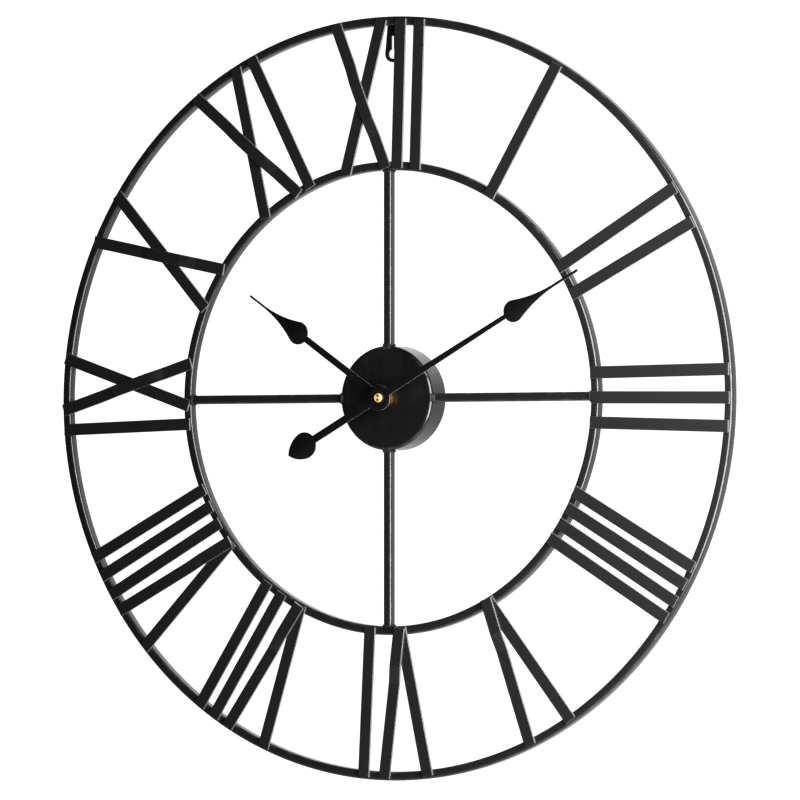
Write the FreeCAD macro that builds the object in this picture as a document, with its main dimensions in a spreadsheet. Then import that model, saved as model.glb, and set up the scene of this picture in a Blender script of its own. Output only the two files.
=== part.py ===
"""Skeleton wall clock: welded tube frame, flat-bar Roman numerals, hub drum, hands and movement.

Millimetres. The wall is the plane y = 0, the clock faces -Y, +Z is up and +X is to the
viewer's right. The dial's axis is the Y axis. Depths are distances in front of the wall.
"""
import FreeCAD, Part
import math
import os

import Sketcher

Vector = FreeCAD.Vector
BACKWARD = Vector(0, 1, 0)

SIZES = (
    # frame
    ("ring_outer_radius", 300.0, "outside of the outer ring"),
    ("ring_inner_radius", 186.0, "outside of the inner ring"),
    ("tube_width", 7.0, "tube across, seen from the front"),
    ("tube_depth", 9.0, "tube front to back"),
    ("tube_wall", 0.9, "tube wall"),
    ("tube_corner", 1.2, "tube corner radius"),
    ("ring_front", 21.0, "depth of the tubes' front faces"),
    ("spoke_depth", 8.0, "spoke tube front to back"),
    ("weld_spread", 0.5, "weld bead standing out round a spoke end"),
    ("weld_reach", 2.4, "weld bead along a spoke"),
    ("weld_gap", 0.02, "fit-up gap at a coped spoke end"),
    ("vent_radius", 1.0, "vent hole in the back of each ring"),
    # hub
    ("hub_radius", 41.0, "drum outside"),
    ("hub_depth", 23.0, "drum front to back"),
    ("hub_wall", 1.0, "drum sheet"),
    ("hub_corner", 3.0, "rounded front edge of the drum"),
    ("hub_bore", 4.3, "hole for the movement's threaded neck"),
    # hanger
    ("hanger_front", 12.0, "depth of the hanger's front face"),
    ("hanger_thick", 2.0, "hanger plate"),
    ("hanger_height", 271.1, "centre of the round end above the dial axis"),
    ("hanger_round", 6.6, "round end outside"),
    ("hanger_eye", 3.7, "round opening that passes a nail's head"),
    ("hanger_slot", 1.2, "half the slot that rests on the nail"),
    ("hanger_slot_top", 284.3, "centre of the slot's top end"),
    ("hanger_shoulder", 4.0, "half the plate's width at its top"),
    ("hanger_top", 298.5, "top of the plate behind the ring"),
    # numeral bars
    ("bar_width", 9.5, "flat bar across"),
    ("bar_thick", 2.0, "flat bar thickness"),
    ("bar_edge", 0.25, "eased long edges of a bar"),
    ("bar_over_outer", 1.5, "bar past the middle of the outer tube"),
    ("bar_over_inner", 2.0, "bar past the middle of the inner tube"),
    ("bar_ramp", 14.0, "length of the joggle in a bar that crosses another"),
    ("bar_land", 1.2, "raised part past the crossing on each side"),
    # hands
    ("hand_thick", 0.8, "hand sheet"),
    ("minute_angle", 61.0, "minute hand, clockwise from twelve"),
    ("minute_depth", 34.0, "back of the minute hand"),
    ("minute_length", 200.0, "axis to tip"),
    ("minute_disc", 10.2, "round boss of the minute hand"),
    ("minute_arm_root", 2.95, "half the arm's width at the axis"),
    ("minute_arm_neck", 1.85, "half the arm's width at the bulb"),
    ("minute_bulb_at", 136.2, "axis to bulb centre"),
    ("minute_bulb", 8.65, "bulb radius"),
    ("minute_needle_at", 174.4, "axis to where the needle starts"),
    ("minute_needle", 1.04, "half the needle's width"),
    ("tail_arm", 3.15, "half the tail's width"),
    ("tail_leaf_at", 76.3, "axis to the leaf's centre"),
    ("tail_leaf", 10.45, "leaf radius"),
    ("tail_length", 93.0, "axis to the leaf's point"),
    ("hour_angle", 304.6, "hour hand, clockwise from twelve"),
    ("hour_depth", 29.8, "back of the hour hand"),
    ("hour_length", 144.6, "axis to tip"),
    ("hour_disc", 7.0, "round boss of the hour hand"),
    ("hour_arm_root", 3.0, "half the arm's width at the axis"),
    ("hour_arm_neck", 2.65, "half the arm's width at the bulb"),
    ("hour_bulb_at", 91.2, "axis to bulb centre"),
    ("hour_bulb", 9.05, "bulb radius"),
    ("hour_needle_at", 127.0, "axis to where the needle starts"),
    ("hour_needle", 0.84, "half the needle's width"),
    ("hand_blend", 3.2, "bulb centre to the start of its taper"),
    # hand fittings and the nuts on the neck
    ("collet_radius", 4.2, "collet flange"),
    ("collet_flange", 0.9, "collet flange thickness"),
    ("hour_collet_body", 3.15, "hour collet in its hand"),
    ("minute_collet_body", 2.6, "minute collet in its hand"),
    ("collet_play", 0.05, "collet to its hand and to its pipe"),
    ("nut_radius", 3.5, "round nut that holds the hands"),
    ("nut_length", 1.8, "round nut front to back"),
    ("nut_dome", 1.0, "rounded front edge of the nut"),
    ("nut_key_radius", 0.65, "key hole in the nut"),
    ("nut_key_at", 1.6, "key hole off the axis"),
    ("nut_key_depth", 0.5, "key hole depth"),
    ("washer_radius", 7.3, "brass washer"),
    ("washer_thick", 0.8, "brass washer thickness"),
    ("hex_half", 6.3, "half the hexagon nut across flats"),
    ("hex_length", 4.0, "hexagon nut front to back"),
    ("gasket_radius", 12.0, "rubber gasket"),
    # movement case
    ("case_half", 28.0, "half the square case"),
    ("case_corner", 2.5, "case corner radius"),
    ("case_wall", 1.2, "case wall"),
    ("case_front", 21.0, "depth of the case's front"),
    ("case_split", 12.0, "depth of the joint between the halves"),
    ("case_back", 5.0, "depth of the case's back"),
    ("neck_radius", 4.0, "threaded neck"),
    ("neck_top", 28.2, "depth of the neck's front end"),
    ("neck_bore", 2.65, "bore that the hour pipe turns in"),
    ("bay_top", 11.7, "battery bay's upper wall, below the axis"),
    ("bay_rib", 1.0, "rib between the bay and the wheels"),
    ("bay_floor", 0.8, "front wall of the bay"),
    ("pivot", 0.3, "pivot radius"),
    ("pivot_hole", 0.36, "pivot hole radius"),
    ("pivot_depth", 0.8, "pivot hole depth"),
    ("arbor", 0.7, "radius of the minute and setting arbors"),
    ("thin_arbor", 0.38, "radius of the train's arbors, inside their pinions' roots"),
    ("peg", 1.0, "locating peg radius"),
    # wheels
    ("hour_pipe", 2.6, "hour pipe outside"),
    ("hour_pipe_bore", 1.75, "hour pipe bore"),
    ("cannon_radius", 1.7, "minute arbor outside"),
    ("motion_module", 0.4, "cannon pinion and minute wheel"),
    ("hour_module", 0.384, "minute pinion and hour wheel"),
    ("train_module", 0.2, "going train"),
    ("knob_radius", 5.0, "setting knob"),
    ("knob_shaft", 1.5, "setting shaft"),
    # battery, coil and board
    ("battery_radius", 7.1, "AA cell"),
    ("battery_length", 49.3, "AA cell without its nub"),
    ("battery_nub", 2.7, "positive nub radius"),
    ("battery_nub_length", 1.0, "positive nub"),
    ("battery_depth", 12.7, "depth of the cell's axis"),
    ("battery_drop", 19.2, "cell's axis below the dial axis"),
    ("battery_shift", 0.4, "cell towards the positive contact"),
    ("contact_thick", 0.4, "contact strip"),
    ("coil_radius", 2.6, "winding"),
    ("coil_flange", 3.0, "bobbin flange"),
    ("coil_bore", 1.4, "bobbin bore"),
    ("coil_at", 23.5, "coil to the right of the axis"),
    ("coil_depth", 10.0, "depth of the coil's axis"),
)

TAPER_SHAPE = ((0.25, 0.58), (0.45, 0.33), (0.65, 0.155), (0.85, 0.045))
LEAF_SHAPE = ((0.32, 0.90), (0.48, 0.79), (0.64, 0.636), (0.81, 0.41))

# Clockwise angle from twelve where each bar's centre line crosses the inner and outer tube.
PLAIN_BARS = {
    "numeral_1": ((30.2, 30.4),),
    "numeral_2": ((56.8, 57.7), (64.3, 63.6)),
    "numeral_3": ((84.3, 86.2), (90.3, 90.4), (96.4, 94.6)),
    "numeral_4": ((114.0, 116.2), (118.4, 119.1), (122.7, 122.1), (127.1, 124.9)),
    "numeral_6_bar": ((184.6, 183.9),),
    "numeral_7_bars": ((211.6, 211.9), (216.5, 214.9)),
    "numeral_8_bars": ((237.1, 238.3), (242.0, 241.6), (246.7, 244.8)),
    "numeral_9_bar": ((263.9, 265.5),),
    "numeral_11_bar": ((337.6, 335.7),),
    "numeral_12_bars": ((3.0, 2.5), (8.1, 5.7)),
}
CROSSED_BARS = {
    "numeral_5": ((150.2, 147.0), (150.5, 154.7)),
    "numeral_6": ((175.9, 172.9), (176.1, 180.3)),
    "numeral_7": ((205.2, 202.0), (205.6, 209.0)),
    "numeral_8": ((231.1, 228.2), (231.4, 235.4)),
    "numeral_9": ((268.7, 276.6), (279.0, 268.6)),
    "numeral_10": ((294.0, 303.7), (304.7, 295.6)),
    "numeral_11": ((322.9, 332.5), (333.8, 324.3)),
    "numeral_12": ((348.6, 359.1), (359.6, 351.3)),
}

# Arbors of the movement: (right of the axis, above the axis).
MINUTE_WHEEL_AT = (9.6, 0.0)
SETTING_AT = (9.6 + 10.8 * math.cos(math.radians(30.0)), 5.4)
THIRD_AT = (9.6 * math.cos(math.radians(120.0)), 9.6 * math.sin(math.radians(120.0)))
MIDDLE_AT = (THIRD_AT[0] + 7.8 * 0.5, THIRD_AT[1] + 7.8 * math.sin(math.radians(60.0)))
ROTOR_AT = (MIDDLE_AT[0] + 6.6, MIDDLE_AT[1])
BOARD_PEGS = ((-20.0, -5.0), (-20.0, 20.0))
STATOR_PEGS = ((21.4, -1.2), (21.8, 23.3))
STATOR_OUTSIDE = (
    (1.2, 10.4), (1.2, 19.8), (12.0, 19.8), (20.0, 24.8), (26.0, 24.8), (26.0, 22.0), (24.3, 22.0),
    (24.3, 0.0), (26.0, 0.0), (26.0, -2.7), (19.0, -2.7), (10.4, 8.5), (8.5, 10.4),
)
STATOR_WINDOW = (
    (22.7, 22.0), (20.6, 22.0), (12.6, 17.4), (10.9, 17.5), (10.9, 12.0), (11.9, 9.5), (20.3, 0.0),
    (22.7, 0.0),
)

doc = FreeCAD.newDocument("wall_clock")
sheet = doc.addObject("Spreadsheet::Sheet", "dims")
parts = {}


# ---------------------------------------------------------------- sizes and small helpers

def fill_sheet():
    """Write every size to its own named cell."""
    for row, (name, value, note) in enumerate(SIZES, start=1):
        sheet.set("A%d" % row, name)
        sheet.set("B%d" % row, str(value))
        sheet.set("C%d" % row, note)
        sheet.setAlias("B%d" % row, name)
    doc.recompute()


def dim(name):
    """Value of one cell."""
    return float(sheet.get(name))


def read(text):
    """Value and expression of a sum such as 'hub_radius - hub_wall' or 'tube_width/2'."""
    value, sign, pieces = 0.0, 1.0, []
    for word in str(text).split():
        if word in "+-":
            sign = -1.0 if word == "-" else 1.0
            pieces.append(word)
            continue
        name, _, divisor = word.partition("/")
        negative = name.startswith("-")
        name = name.lstrip("-")
        is_cell = name[0].isalpha()
        amount = dim(name) if is_cell else float(name)
        amount = (-amount if negative else amount) / float(divisor or 1)
        value += sign * amount
        cell = ("-" if negative else "") + ("dims." + name if is_cell else name)
        pieces.append("(" + cell + ")" + ("/" + divisor if divisor else ""))
        sign = 1.0
    return value, " ".join(pieces)


def origin_item(body, role):
    """One of a body's own origin planes."""
    return next(item for item in body.Origin.OriginFeatures if item.Role == role)


def new_body(label):
    """An empty body that will be written under its label."""
    body = doc.addObject("PartDesign::Body", "body_" + label)
    body.Label = label
    parts[label] = body
    return body


def new_sketch(body, role, offset="0"):
    """A sketch on one of the body's origin planes, moved along the plane's normal."""
    sketch = body.newObject("Sketcher::SketchObject", "sketch_" + body.Label)
    sketch.AttachmentSupport = [(origin_item(body, role), "")]
    sketch.MapMode = "FlatFace"
    value, expression = read(offset)
    sketch.AttachmentOffset = FreeCAD.Placement(Vector(0, 0, value), FreeCAD.Rotation())
    sketch.setExpression("AttachmentOffset.Base.z", expression)
    doc.recompute()
    return sketch


def fix_point(sketch, curve, end, across, along):
    """Tie a point of the sketch to cell values, or to an axis where the value is zero."""
    for kind, axis, text in (("DistanceX", -2, across), ("DistanceY", -1, along)):
        value, expression = read(text)
        if abs(value) < 1e-9:
            sketch.addConstraint(Sketcher.Constraint("PointOnObject", curve, end, axis))
            continue
        index = sketch.addConstraint(Sketcher.Constraint(kind, -1, 1, curve, end, value))
        sketch.setExpression("Constraints[%d]" % index, expression)


def draw_outline(sketch, corners):
    """Closed outline of straight lines; each corner is a pair of sums."""
    spots = [Vector(read(a)[0], read(b)[0], 0) for a, b in corners]
    count = len(spots)
    first = sketch.GeometryCount
    for i in range(count):
        sketch.addGeometry(Part.LineSegment(spots[i], spots[(i + 1) % count]), False)
    for i in range(count):
        here, after = first + i, first + (i + 1) % count
        sketch.addConstraint(Sketcher.Constraint("Coincident", here, 2, after, 1))
    for i, (across, along) in enumerate(corners):
        fix_point(sketch, first + i, 1, across, along)


def draw_box(sketch, left, right, low, high):
    """Rectangle between four sums."""
    draw_outline(sketch, ((left, low), (right, low), (right, high), (left, high)))


def draw_circle(sketch, radius, across="0", along="0"):
    """Circle with its radius and centre tied to cells."""
    value, expression = read(radius)
    centre = Vector(read(across)[0], read(along)[0], 0)
    curve = sketch.addGeometry(Part.Circle(centre, Vector(0, 0, 1), value), False)
    index = sketch.addConstraint(Sketcher.Constraint("Radius", curve, value))
    sketch.setExpression("Constraints[%d]" % index, expression)
    fix_point(sketch, curve, 3, across, along)


def add_feature(body, kind, profile):
    """Feature of the body on one sketch."""
    feature = body.newObject("PartDesign::" + kind, kind + "_" + body.Label)
    feature.Profile = profile
    return feature


def extrude(body, kind, profile, length, symmetric=False, flip=False):
    """Pad or Pocket of a given length along the sketch's normal."""
    feature = add_feature(body, kind, profile)
    feature.SideType = "Symmetric" if symmetric else "One side"
    feature.Reversed = flip
    feature.setExpression("Length", read(length)[1])
    doc.recompute()
    return feature


def turn(body, kind, profile, axis="V_Axis"):
    """Revolution or Groove through a full turn about a sketch axis."""
    feature = add_feature(body, kind, profile)
    feature.ReferenceAxis = (profile, [axis])
    feature.Angle = 360.0
    doc.recompute()
    return feature


def ease(body, radius, chosen, kind="Fillet"):
    """Round or chamfer the edges of the body's tip that the test picks."""
    base = body.Tip
    names = ["Edge%d" % n for n, edge in enumerate(base.Shape.Edges, start=1) if chosen(edge)]
    feature = body.newObject("PartDesign::" + kind, kind + "_" + body.Label)
    feature.Base = (base, names)
    feature.setExpression("Radius" if kind == "Fillet" else "Size", read(radius)[1])
    doc.recompute()
    return feature


def clock_turn(degrees):
    """Placement turned clockwise about the dial axis, seen from the front."""
    return FreeCAD.Placement(Vector(0, 0, 0), FreeCAD.Rotation(Vector(0, 1, 0), degrees))


def on_dial(radius, degrees):
    """Point in the dial's plane as (right, up)."""
    angle = math.radians(degrees)
    return radius * math.sin(angle), radius * math.cos(angle)


def is_circle(edge, radius, depth=None):
    """True for a circular edge of a given radius, and depth if given."""
    curve = edge.Curve
    if not isinstance(curve, Part.Circle) or abs(curve.Radius - radius) > 1e-4:
        return False
    return depth is None or abs(curve.Center.y + depth) < 1e-4


def is_along(edge, direction):
    """True for a straight edge along a direction."""
    if not isinstance(edge.Curve, Part.Line):
        return False
    return abs(edge.Curve.Direction.dot(direction)) > 0.999


# ---------------------------------------------------------------- rings, spokes, hub, hanger

def build_ring(label, outside):
    """Square-tube ring with rounded corners, hollow, with one vent hole at its foot."""
    body = new_body(label)
    back = "-ring_front + tube_depth"
    section = new_sketch(body, "XY_Plane")
    draw_box(section, outside + " - tube_width", outside, "-ring_front", back)
    turn(body, "Revolution", section)
    outer, inner = dim(outside), dim(outside) - dim("tube_width")
    ease(body, "tube_corner", lambda e: is_circle(e, outer) or is_circle(e, inner))
    cavity = new_sketch(body, "XY_Plane")
    draw_box(cavity, outside + " - tube_width + tube_wall", outside + " - tube_wall",
             "-ring_front + tube_wall", back + " - tube_wall")
    turn(body, "Groove", cavity)
    vent = new_sketch(body, "XZ_Plane", "ring_front - tube_depth")
    draw_circle(vent, "vent_radius", "0", "-" + outside + " + tube_width/2")
    extrude(body, "Pocket", vent, "tube_wall + 0.5", flip=True)


def flare(body, low, high, wide_low, wide_high):
    """Weld bead: the tube's outline spread at one end and running out at the other."""
    sections = []
    for height, spread in ((low, wide_low), (high, wide_high)):
        grow = "weld_spread" if spread else "0"
        sketch = new_sketch(body, "XY_Plane", height)
        draw_box(sketch, "-tube_width/2 - " + grow, "tube_width/2 + " + grow,
                 "-ring_front - " + grow, "-ring_front + spoke_depth + " + grow)
        sections.append(sketch)
    loft = add_feature(body, "AdditiveLoft", sections[0])
    loft.Sections = [sections[1]]
    loft.Ruled = True
    doc.recompute()


def build_spoke(label, degrees):
    """Tube from the drum to the inner ring, coped and beaded at both ends."""
    body = new_body(label)
    tube = new_sketch(body, "XY_Plane", "hub_radius - 2")
    draw_box(tube, "-tube_width/2", "tube_width/2", "-ring_front", "-ring_front + spoke_depth")
    extrude(body, "Pad", tube, "ring_inner_radius - tube_width - hub_radius + 4")
    ease(body, "tube_corner", lambda e: is_along(e, Vector(0, 0, 1)))
    root = "hub_radius"
    far = "ring_inner_radius - tube_width"
    flare(body, root + " - 2", root + " + weld_reach", True, False)
    flare(body, far + " - weld_reach", far + " + 2", False, True)
    bore = new_sketch(body, "XY_Plane", "hub_radius - 3")
    draw_box(bore, "-tube_width/2 + tube_wall", "tube_width/2 - tube_wall",
             "-ring_front + tube_wall", "-ring_front + spoke_depth - tube_wall")
    extrude(body, "Pocket", bore, "ring_inner_radius", flip=True)
    cope = new_sketch(body, "XZ_Plane")
    draw_circle(cope, "hub_radius + weld_gap")
    extrude(body, "Pocket", cope, "hub_depth + ring_front + 30", symmetric=True)
    far_cope = new_sketch(body, "XZ_Plane")
    draw_circle(far_cope, "ring_inner_radius - tube_width - weld_gap")
    draw_circle(far_cope, "ring_inner_radius + 10")
    extrude(body, "Pocket", far_cope, "hub_depth + ring_front + 30", symmetric=True)
    body.Placement = clock_turn(degrees)


def build_hub():
    """Pressed drum, open to the wall, with a hole for the movement's neck."""
    body = new_body("hub_drum")
    wall = new_sketch(body, "XY_Plane")
    draw_outline(wall, (
        ("hub_radius", "0"), ("hub_radius", "-hub_depth"), ("hub_bore", "-hub_depth"),
        ("hub_bore", "-hub_depth + hub_wall"), ("hub_radius - hub_wall", "-hub_depth + hub_wall"),
        ("hub_radius - hub_wall", "0"),
    ))
    turn(body, "Revolution", wall)
    radius, depth = dim("hub_radius"), dim("hub_depth")
    ease(body, "hub_corner", lambda e: is_circle(e, radius, depth))
    inside, behind = radius - dim("hub_wall"), depth - dim("hub_wall")
    ease(body, "hub_corner - hub_wall", lambda e: is_circle(e, inside, behind))


def build_hanger():
    """Keyhole plate welded behind the outer ring at twelve o'clock."""
    body = new_body("hanger")
    round_end = new_sketch(body, "XZ_Plane", "hanger_front")
    draw_circle(round_end, "hanger_round", "0", "hanger_height")
    extrude(body, "Pad", round_end, "hanger_thick", flip=True)
    neck = new_sketch(body, "XZ_Plane", "hanger_front")
    draw_outline(neck, (
        ("-hanger_round", "hanger_height"), ("hanger_round", "hanger_height"),
        ("hanger_shoulder", "hanger_top"), ("-hanger_shoulder", "hanger_top"),
    ))
    extrude(body, "Pad", neck, "hanger_thick", flip=True)
    for radius, height in (("hanger_eye", "hanger_height"), ("hanger_slot", "hanger_slot_top")):
        hole = new_sketch(body, "XZ_Plane", "hanger_front + 1")
        draw_circle(hole, radius, "0", height)
        extrude(body, "Pocket", hole, "hanger_thick + 2")
    slot = new_sketch(body, "XZ_Plane", "hanger_front + 1")
    draw_box(slot, "-hanger_slot", "hanger_slot", "hanger_height", "hanger_slot_top")
    extrude(body, "Pocket", slot, "hanger_thick + 2")


# ---------------------------------------------------------------- numerals

class BarLine:
    """Centre line of a numeral bar from the inner tube's middle to the outer tube's."""

    def __init__(self, inner_angle, outer_angle):
        half = dim("tube_width") / 2
        self.start = on_dial(dim("ring_inner_radius") - half, inner_angle)
        self.end = on_dial(dim("ring_outer_radius") - half, outer_angle)
        right, up = self.end[0] - self.start[0], self.end[1] - self.start[1]
        self.length = math.hypot(right, up)
        self.along = (right / self.length, up / self.length)
        self.tilt = math.degrees(math.atan2(right, up))

    def placement(self):
        """Puts a bar drawn along +X with its start at the origin onto this line."""
        turned = FreeCAD.Rotation(Vector(0, 1, 0), self.tilt - 90.0)
        return FreeCAD.Placement(Vector(self.start[0], 0, self.start[1]), turned)

    def corners(self):
        """The bar's four corners as (right, up)."""
        half = dim("bar_width") / 2
        low, high = -dim("bar_over_inner"), self.length + dim("bar_over_outer")
        (sx, sz), (tx, tz) = self.start, self.along
        return [(sx + s * tx + h * tz, sz + s * tz - h * tx)
                for s, h in ((low, -half), (high, -half), (high, half), (low, half))]

    def crossing(self, other):
        """Where along this bar another bar lies under it: (nearest, farthest)."""
        faces = []
        for bar in (self, other):
            spots = [Vector(x, 0, z) for x, z in bar.corners()]
            faces.append(Part.Face(Part.makePolygon(spots + spots[:1])))
        shared = faces[0].common(faces[1])
        (sx, sz), (tx, tz) = self.start, self.along
        reach = [(v.X - sx) * tx + (v.Z - sz) * tz for v in shared.Vertexes]
        return min(reach), max(reach)


def bar_profile(line, raised):
    """Side view of a bar: flat, or joggled forward over the raised stretch."""
    low, high = -dim("bar_over_inner"), line.length + dim("bar_over_outer")
    steps = [(low, 0.0), (high, 0.0)]
    if raised:
        ramp, land = dim("bar_ramp"), dim("bar_land")
        near, far = raised[0] - land, raised[1] + land
        steps = [(max(low, near), 1.0), (far, 1.0), (far + ramp, 0.0), (high, 0.0)]
        if near > low:
            steps = [(low, 0.0), (near - ramp, 0.0)] + steps
    back = [("%.3f" % s, "-ring_front - bar_thick" if up else "-ring_front") for s, up in steps]
    front = [(s, d + " - bar_thick") for s, d in back]
    return back + front[::-1]


def build_bar(label, line, raised=None, named=True):
    """One flat bar with eased long edges."""
    body = doc.addObject("PartDesign::Body", "body_" + label)
    body.Label = label
    if named:
        parts[label] = body
    side = new_sketch(body, "XY_Plane")
    draw_outline(side, bar_profile(line, raised))
    extrude(body, "Pad", side, "bar_width", symmetric=True)
    half = dim("bar_width") / 2
    ease(body, "bar_edge", lambda e: all(abs(abs(v.Z) - half) < 1e-4 for v in e.Vertexes)
         and abs(e.Vertexes[0].X - e.Vertexes[-1].X) > 1e-3)
    body.Placement = line.placement()
    return body


def build_numerals():
    """All twelve numerals; a numeral's loose upright bars share one group."""
    for label, angles in PLAIN_BARS.items():
        if len(angles) == 1:
            build_bar(label, BarLine(*angles[0]))
            continue
        bars = [build_bar("%s_%d" % (label, n), BarLine(*pair), named=False)
                for n, pair in enumerate(angles, start=1)]
        group = doc.addObject("Part::Compound", "group_" + label)
        group.Label = label
        group.Links = bars
        parts[label] = group
    for label, (rear_angles, front_angles) in CROSSED_BARS.items():
        rear, front = BarLine(*rear_angles), BarLine(*front_angles)
        build_bar(label + "_rear", rear)
        build_bar(label + "_front", front, raised=front.crossing(rear))


# ---------------------------------------------------------------- hands and their fittings

def mirrored_outline(edges):
    """Closed face from a chain of edges on the right of the hand's own axis."""
    left = [edge.mirror(Vector(0, 0, 0), Vector(1, 0, 0)) for edge in edges]
    return Part.Face(Part.Wire(Part.__sortEdges__(edges + left)))


def curve_through(points):
    """Smooth curve through points given as (half width, height)."""
    curve = Part.BSplineCurve()
    curve.interpolate([Vector(x, 0, z) for x, z in points])
    return curve.toShape()


def chord_height(radius, half):
    """Height of a circle's point at a half width, above its centre."""
    return math.sqrt(radius * radius - half * half)


def arm_and_bulb(hand):
    """Face of a hand's arm, pear-shaped bulb and needle, pointing up from the axis."""
    root, neck = dim(hand + "_arm_root"), dim(hand + "_arm_neck")
    centre, bulb = dim(hand + "_bulb_at"), dim(hand + "_bulb")
    needle, tip = dim(hand + "_needle"), dim(hand + "_length")
    neck_height = centre - chord_height(bulb, neck)
    blend = centre + dim("hand_blend")
    blend_half = chord_height(bulb, dim("hand_blend"))
    span = dim(hand + "_needle_at") - blend
    taper = [(blend_half, blend)]
    taper += [(needle + k * (blend_half - needle), blend + t * span) for t, k in TAPER_SHAPE]
    taper.append((needle, blend + span))
    shoulder = tip - needle
    edges = [
        Part.makeLine(Vector(0, 0, 0), Vector(root, 0, 0)),
        Part.makeLine(Vector(root, 0, 0), Vector(neck, 0, neck_height)),
        Part.Arc(Vector(neck, 0, neck_height), Vector(bulb, 0, centre),
                 Vector(blend_half, 0, blend)).toShape(),
        curve_through(taper),
        Part.makeLine(Vector(needle, 0, blend + span), Vector(needle, 0, shoulder)),
        Part.Arc(Vector(needle, 0, shoulder),
                 Vector(needle * math.sqrt(0.5), 0, shoulder + needle * math.sqrt(0.5)),
                 Vector(0, 0, tip)).toShape(),
    ]
    return mirrored_outline(edges)


def tail_and_leaf():
    """Face of the minute hand's counterweight, pointing up from the axis."""
    arm, centre, leaf = dim("tail_arm"), dim("tail_leaf_at"), dim("tail_leaf")
    neck_height = centre - chord_height(leaf, arm)
    span = dim("tail_length") - centre
    blend = centre + 2.2
    blend_half = chord_height(leaf, 2.2)
    side = [(blend_half, blend)]
    side += [(k * leaf, centre + t * span) for t, k in LEAF_SHAPE]
    side.append((0.0, centre + span))
    edges = [
        Part.makeLine(Vector(0, 0, 0), Vector(arm, 0, 0)),
        Part.makeLine(Vector(arm, 0, 0), Vector(arm, 0, neck_height)),
        Part.Arc(Vector(arm, 0, neck_height), Vector(leaf, 0, centre),
                 Vector(blend_half, 0, blend)).toShape(),
        curve_through(side),
    ]
    return mirrored_outline(edges)


def sheet_hand(label, faces, disc, hole, back, degrees):
    """Flat hand cut from sheet: the given faces plus a round boss with a hole."""
    thick = dim("hand_thick")
    lift = Vector(0, -back, 0)
    blank = Part.makeCylinder(disc, thick, lift, -BACKWARD)
    for face in faces:
        blank = blank.fuse(face.extrude(Vector(0, -thick, 0)).translated(lift))
    blank = blank.removeSplitter()
    blank = blank.cut(Part.makeCylinder(hole, 3 * thick, lift + BACKWARD, -BACKWARD))
    keep(label, blank, clock_turn(degrees))


def keep(label, shape, placement=None):
    """Store a shape made with Part functions under its label."""
    if shape.ShapeType == "Compound" and len(shape.Solids) == 1:
        shape = shape.Solids[0]
    item = doc.addObject("Part::Feature", "piece_" + label)
    item.Label = label
    item.Shape = shape
    item.Placement = placement or FreeCAD.Placement()
    parts[label] = item


def build_hands():
    """Minute hand with its counterweight, and the hour hand."""
    play = dim("collet_play")
    leaf = tail_and_leaf()
    leaf.rotate(Vector(0, 0, 0), Vector(0, 1, 0), 180)
    sheet_hand("minute_hand", [arm_and_bulb("minute"), leaf], dim("minute_disc"),
               dim("minute_collet_body") + play, dim("minute_depth"), dim("minute_angle"))
    sheet_hand("hour_hand", [arm_and_bulb("hour")], dim("hour_disc"),
               dim("hour_collet_body") + play, dim("hour_depth"), dim("hour_angle"))


def build_turned(label, corners):
    """Turned piece: its half section, as (radius, depth) sums, spun about the dial axis."""
    body = new_body(label)
    section = new_sketch(body, "XY_Plane")
    draw_outline(section, corners)
    turn(body, "Revolution", section)
    return body


def build_collet(label, pipe, inside, back):
    """Flanged brass eyelet that carries a hand on its pipe."""
    bore = pipe + " + collet_play"
    build_turned(label, (
        (bore, "-" + back + " + collet_flange"), ("collet_radius", "-" + back + " + collet_flange"),
        ("collet_radius", "-" + back), (inside, "-" + back),
        (inside, "-" + back + " - hand_thick"), (bore, "-" + back + " - hand_thick"),
    ))


def build_hand_nut():
    """Closed round nut on the front of the minute arbor, with two key holes."""
    base = "-minute_depth - hand_thick"
    face = base + " - nut_length"
    body = build_turned("hand_nut", (
        ("cannon_radius + collet_play", base), ("nut_radius", base),
        ("nut_radius", face), ("0", face),
        ("0", face + " + 0.6"), ("cannon_radius + collet_play", face + " + 0.6"),
    ))
    front = dim("minute_depth") + dim("hand_thick") + dim("nut_length")
    ease(body, "nut_dome", lambda e: is_circle(e, dim("nut_radius"), front))
    keys = new_sketch(body, "XZ_Plane", "minute_depth + hand_thick + nut_length")
    draw_circle(keys, "nut_key_radius", "0", "nut_key_at")
    draw_circle(keys, "nut_key_radius", "0", "-nut_key_at")
    extrude(body, "Pocket", keys, "nut_key_depth")


def build_neck_fittings():
    """Gasket behind the drum's front, washer and hexagon nut in front of it."""
    bore = "neck_radius + collet_play"
    build_turned("gasket", (
        (bore, "-case_front"), ("gasket_radius", "-case_front"),
        ("gasket_radius", "-hub_depth + hub_wall"), (bore, "-hub_depth + hub_wall"),
    ))
    build_turned("fixing_washer", (
        (bore, "-hub_depth"), ("washer_radius", "-hub_depth"),
        ("washer_radius", "-hub_depth - washer_thick"), (bore, "-hub_depth - washer_thick"),
    ))
    body = new_body("fixing_nut")
    face = new_sketch(body, "XZ_Plane", "hub_depth + washer_thick")
    corner = dim("hex_half") / math.cos(math.radians(30))
    draw_outline(face, [tuple("%.4f" % c for c in on_dial(corner, 60 * n)) for n in range(6)])
    draw_circle(face, bore)
    extrude(body, "Pad", face, "hex_length")


# ---------------------------------------------------------------- movement

def gear(teeth, module, phase, at, front, back):
    """Toothed disc between two depths; a tooth points at the phase angle."""
    pitch = teeth * module / 2
    tip, root = pitch + 0.75 * module, pitch - 0.95 * module
    step = 360.0 / teeth
    spots = []
    for n in range(teeth):
        middle = phase + n * step
        for radius, share in ((root, -0.30), (tip, -0.11), (tip, 0.11), (root, 0.30)):
            angle = math.radians(middle + share * step)
            spots.append(Vector(at[0] + radius * math.cos(angle), -front,
                                at[1] + radius * math.sin(angle)))
    disc = Part.Face(Part.makePolygon(spots + spots[:1]))
    return disc.extrude(Vector(0, front - back, 0))


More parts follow.
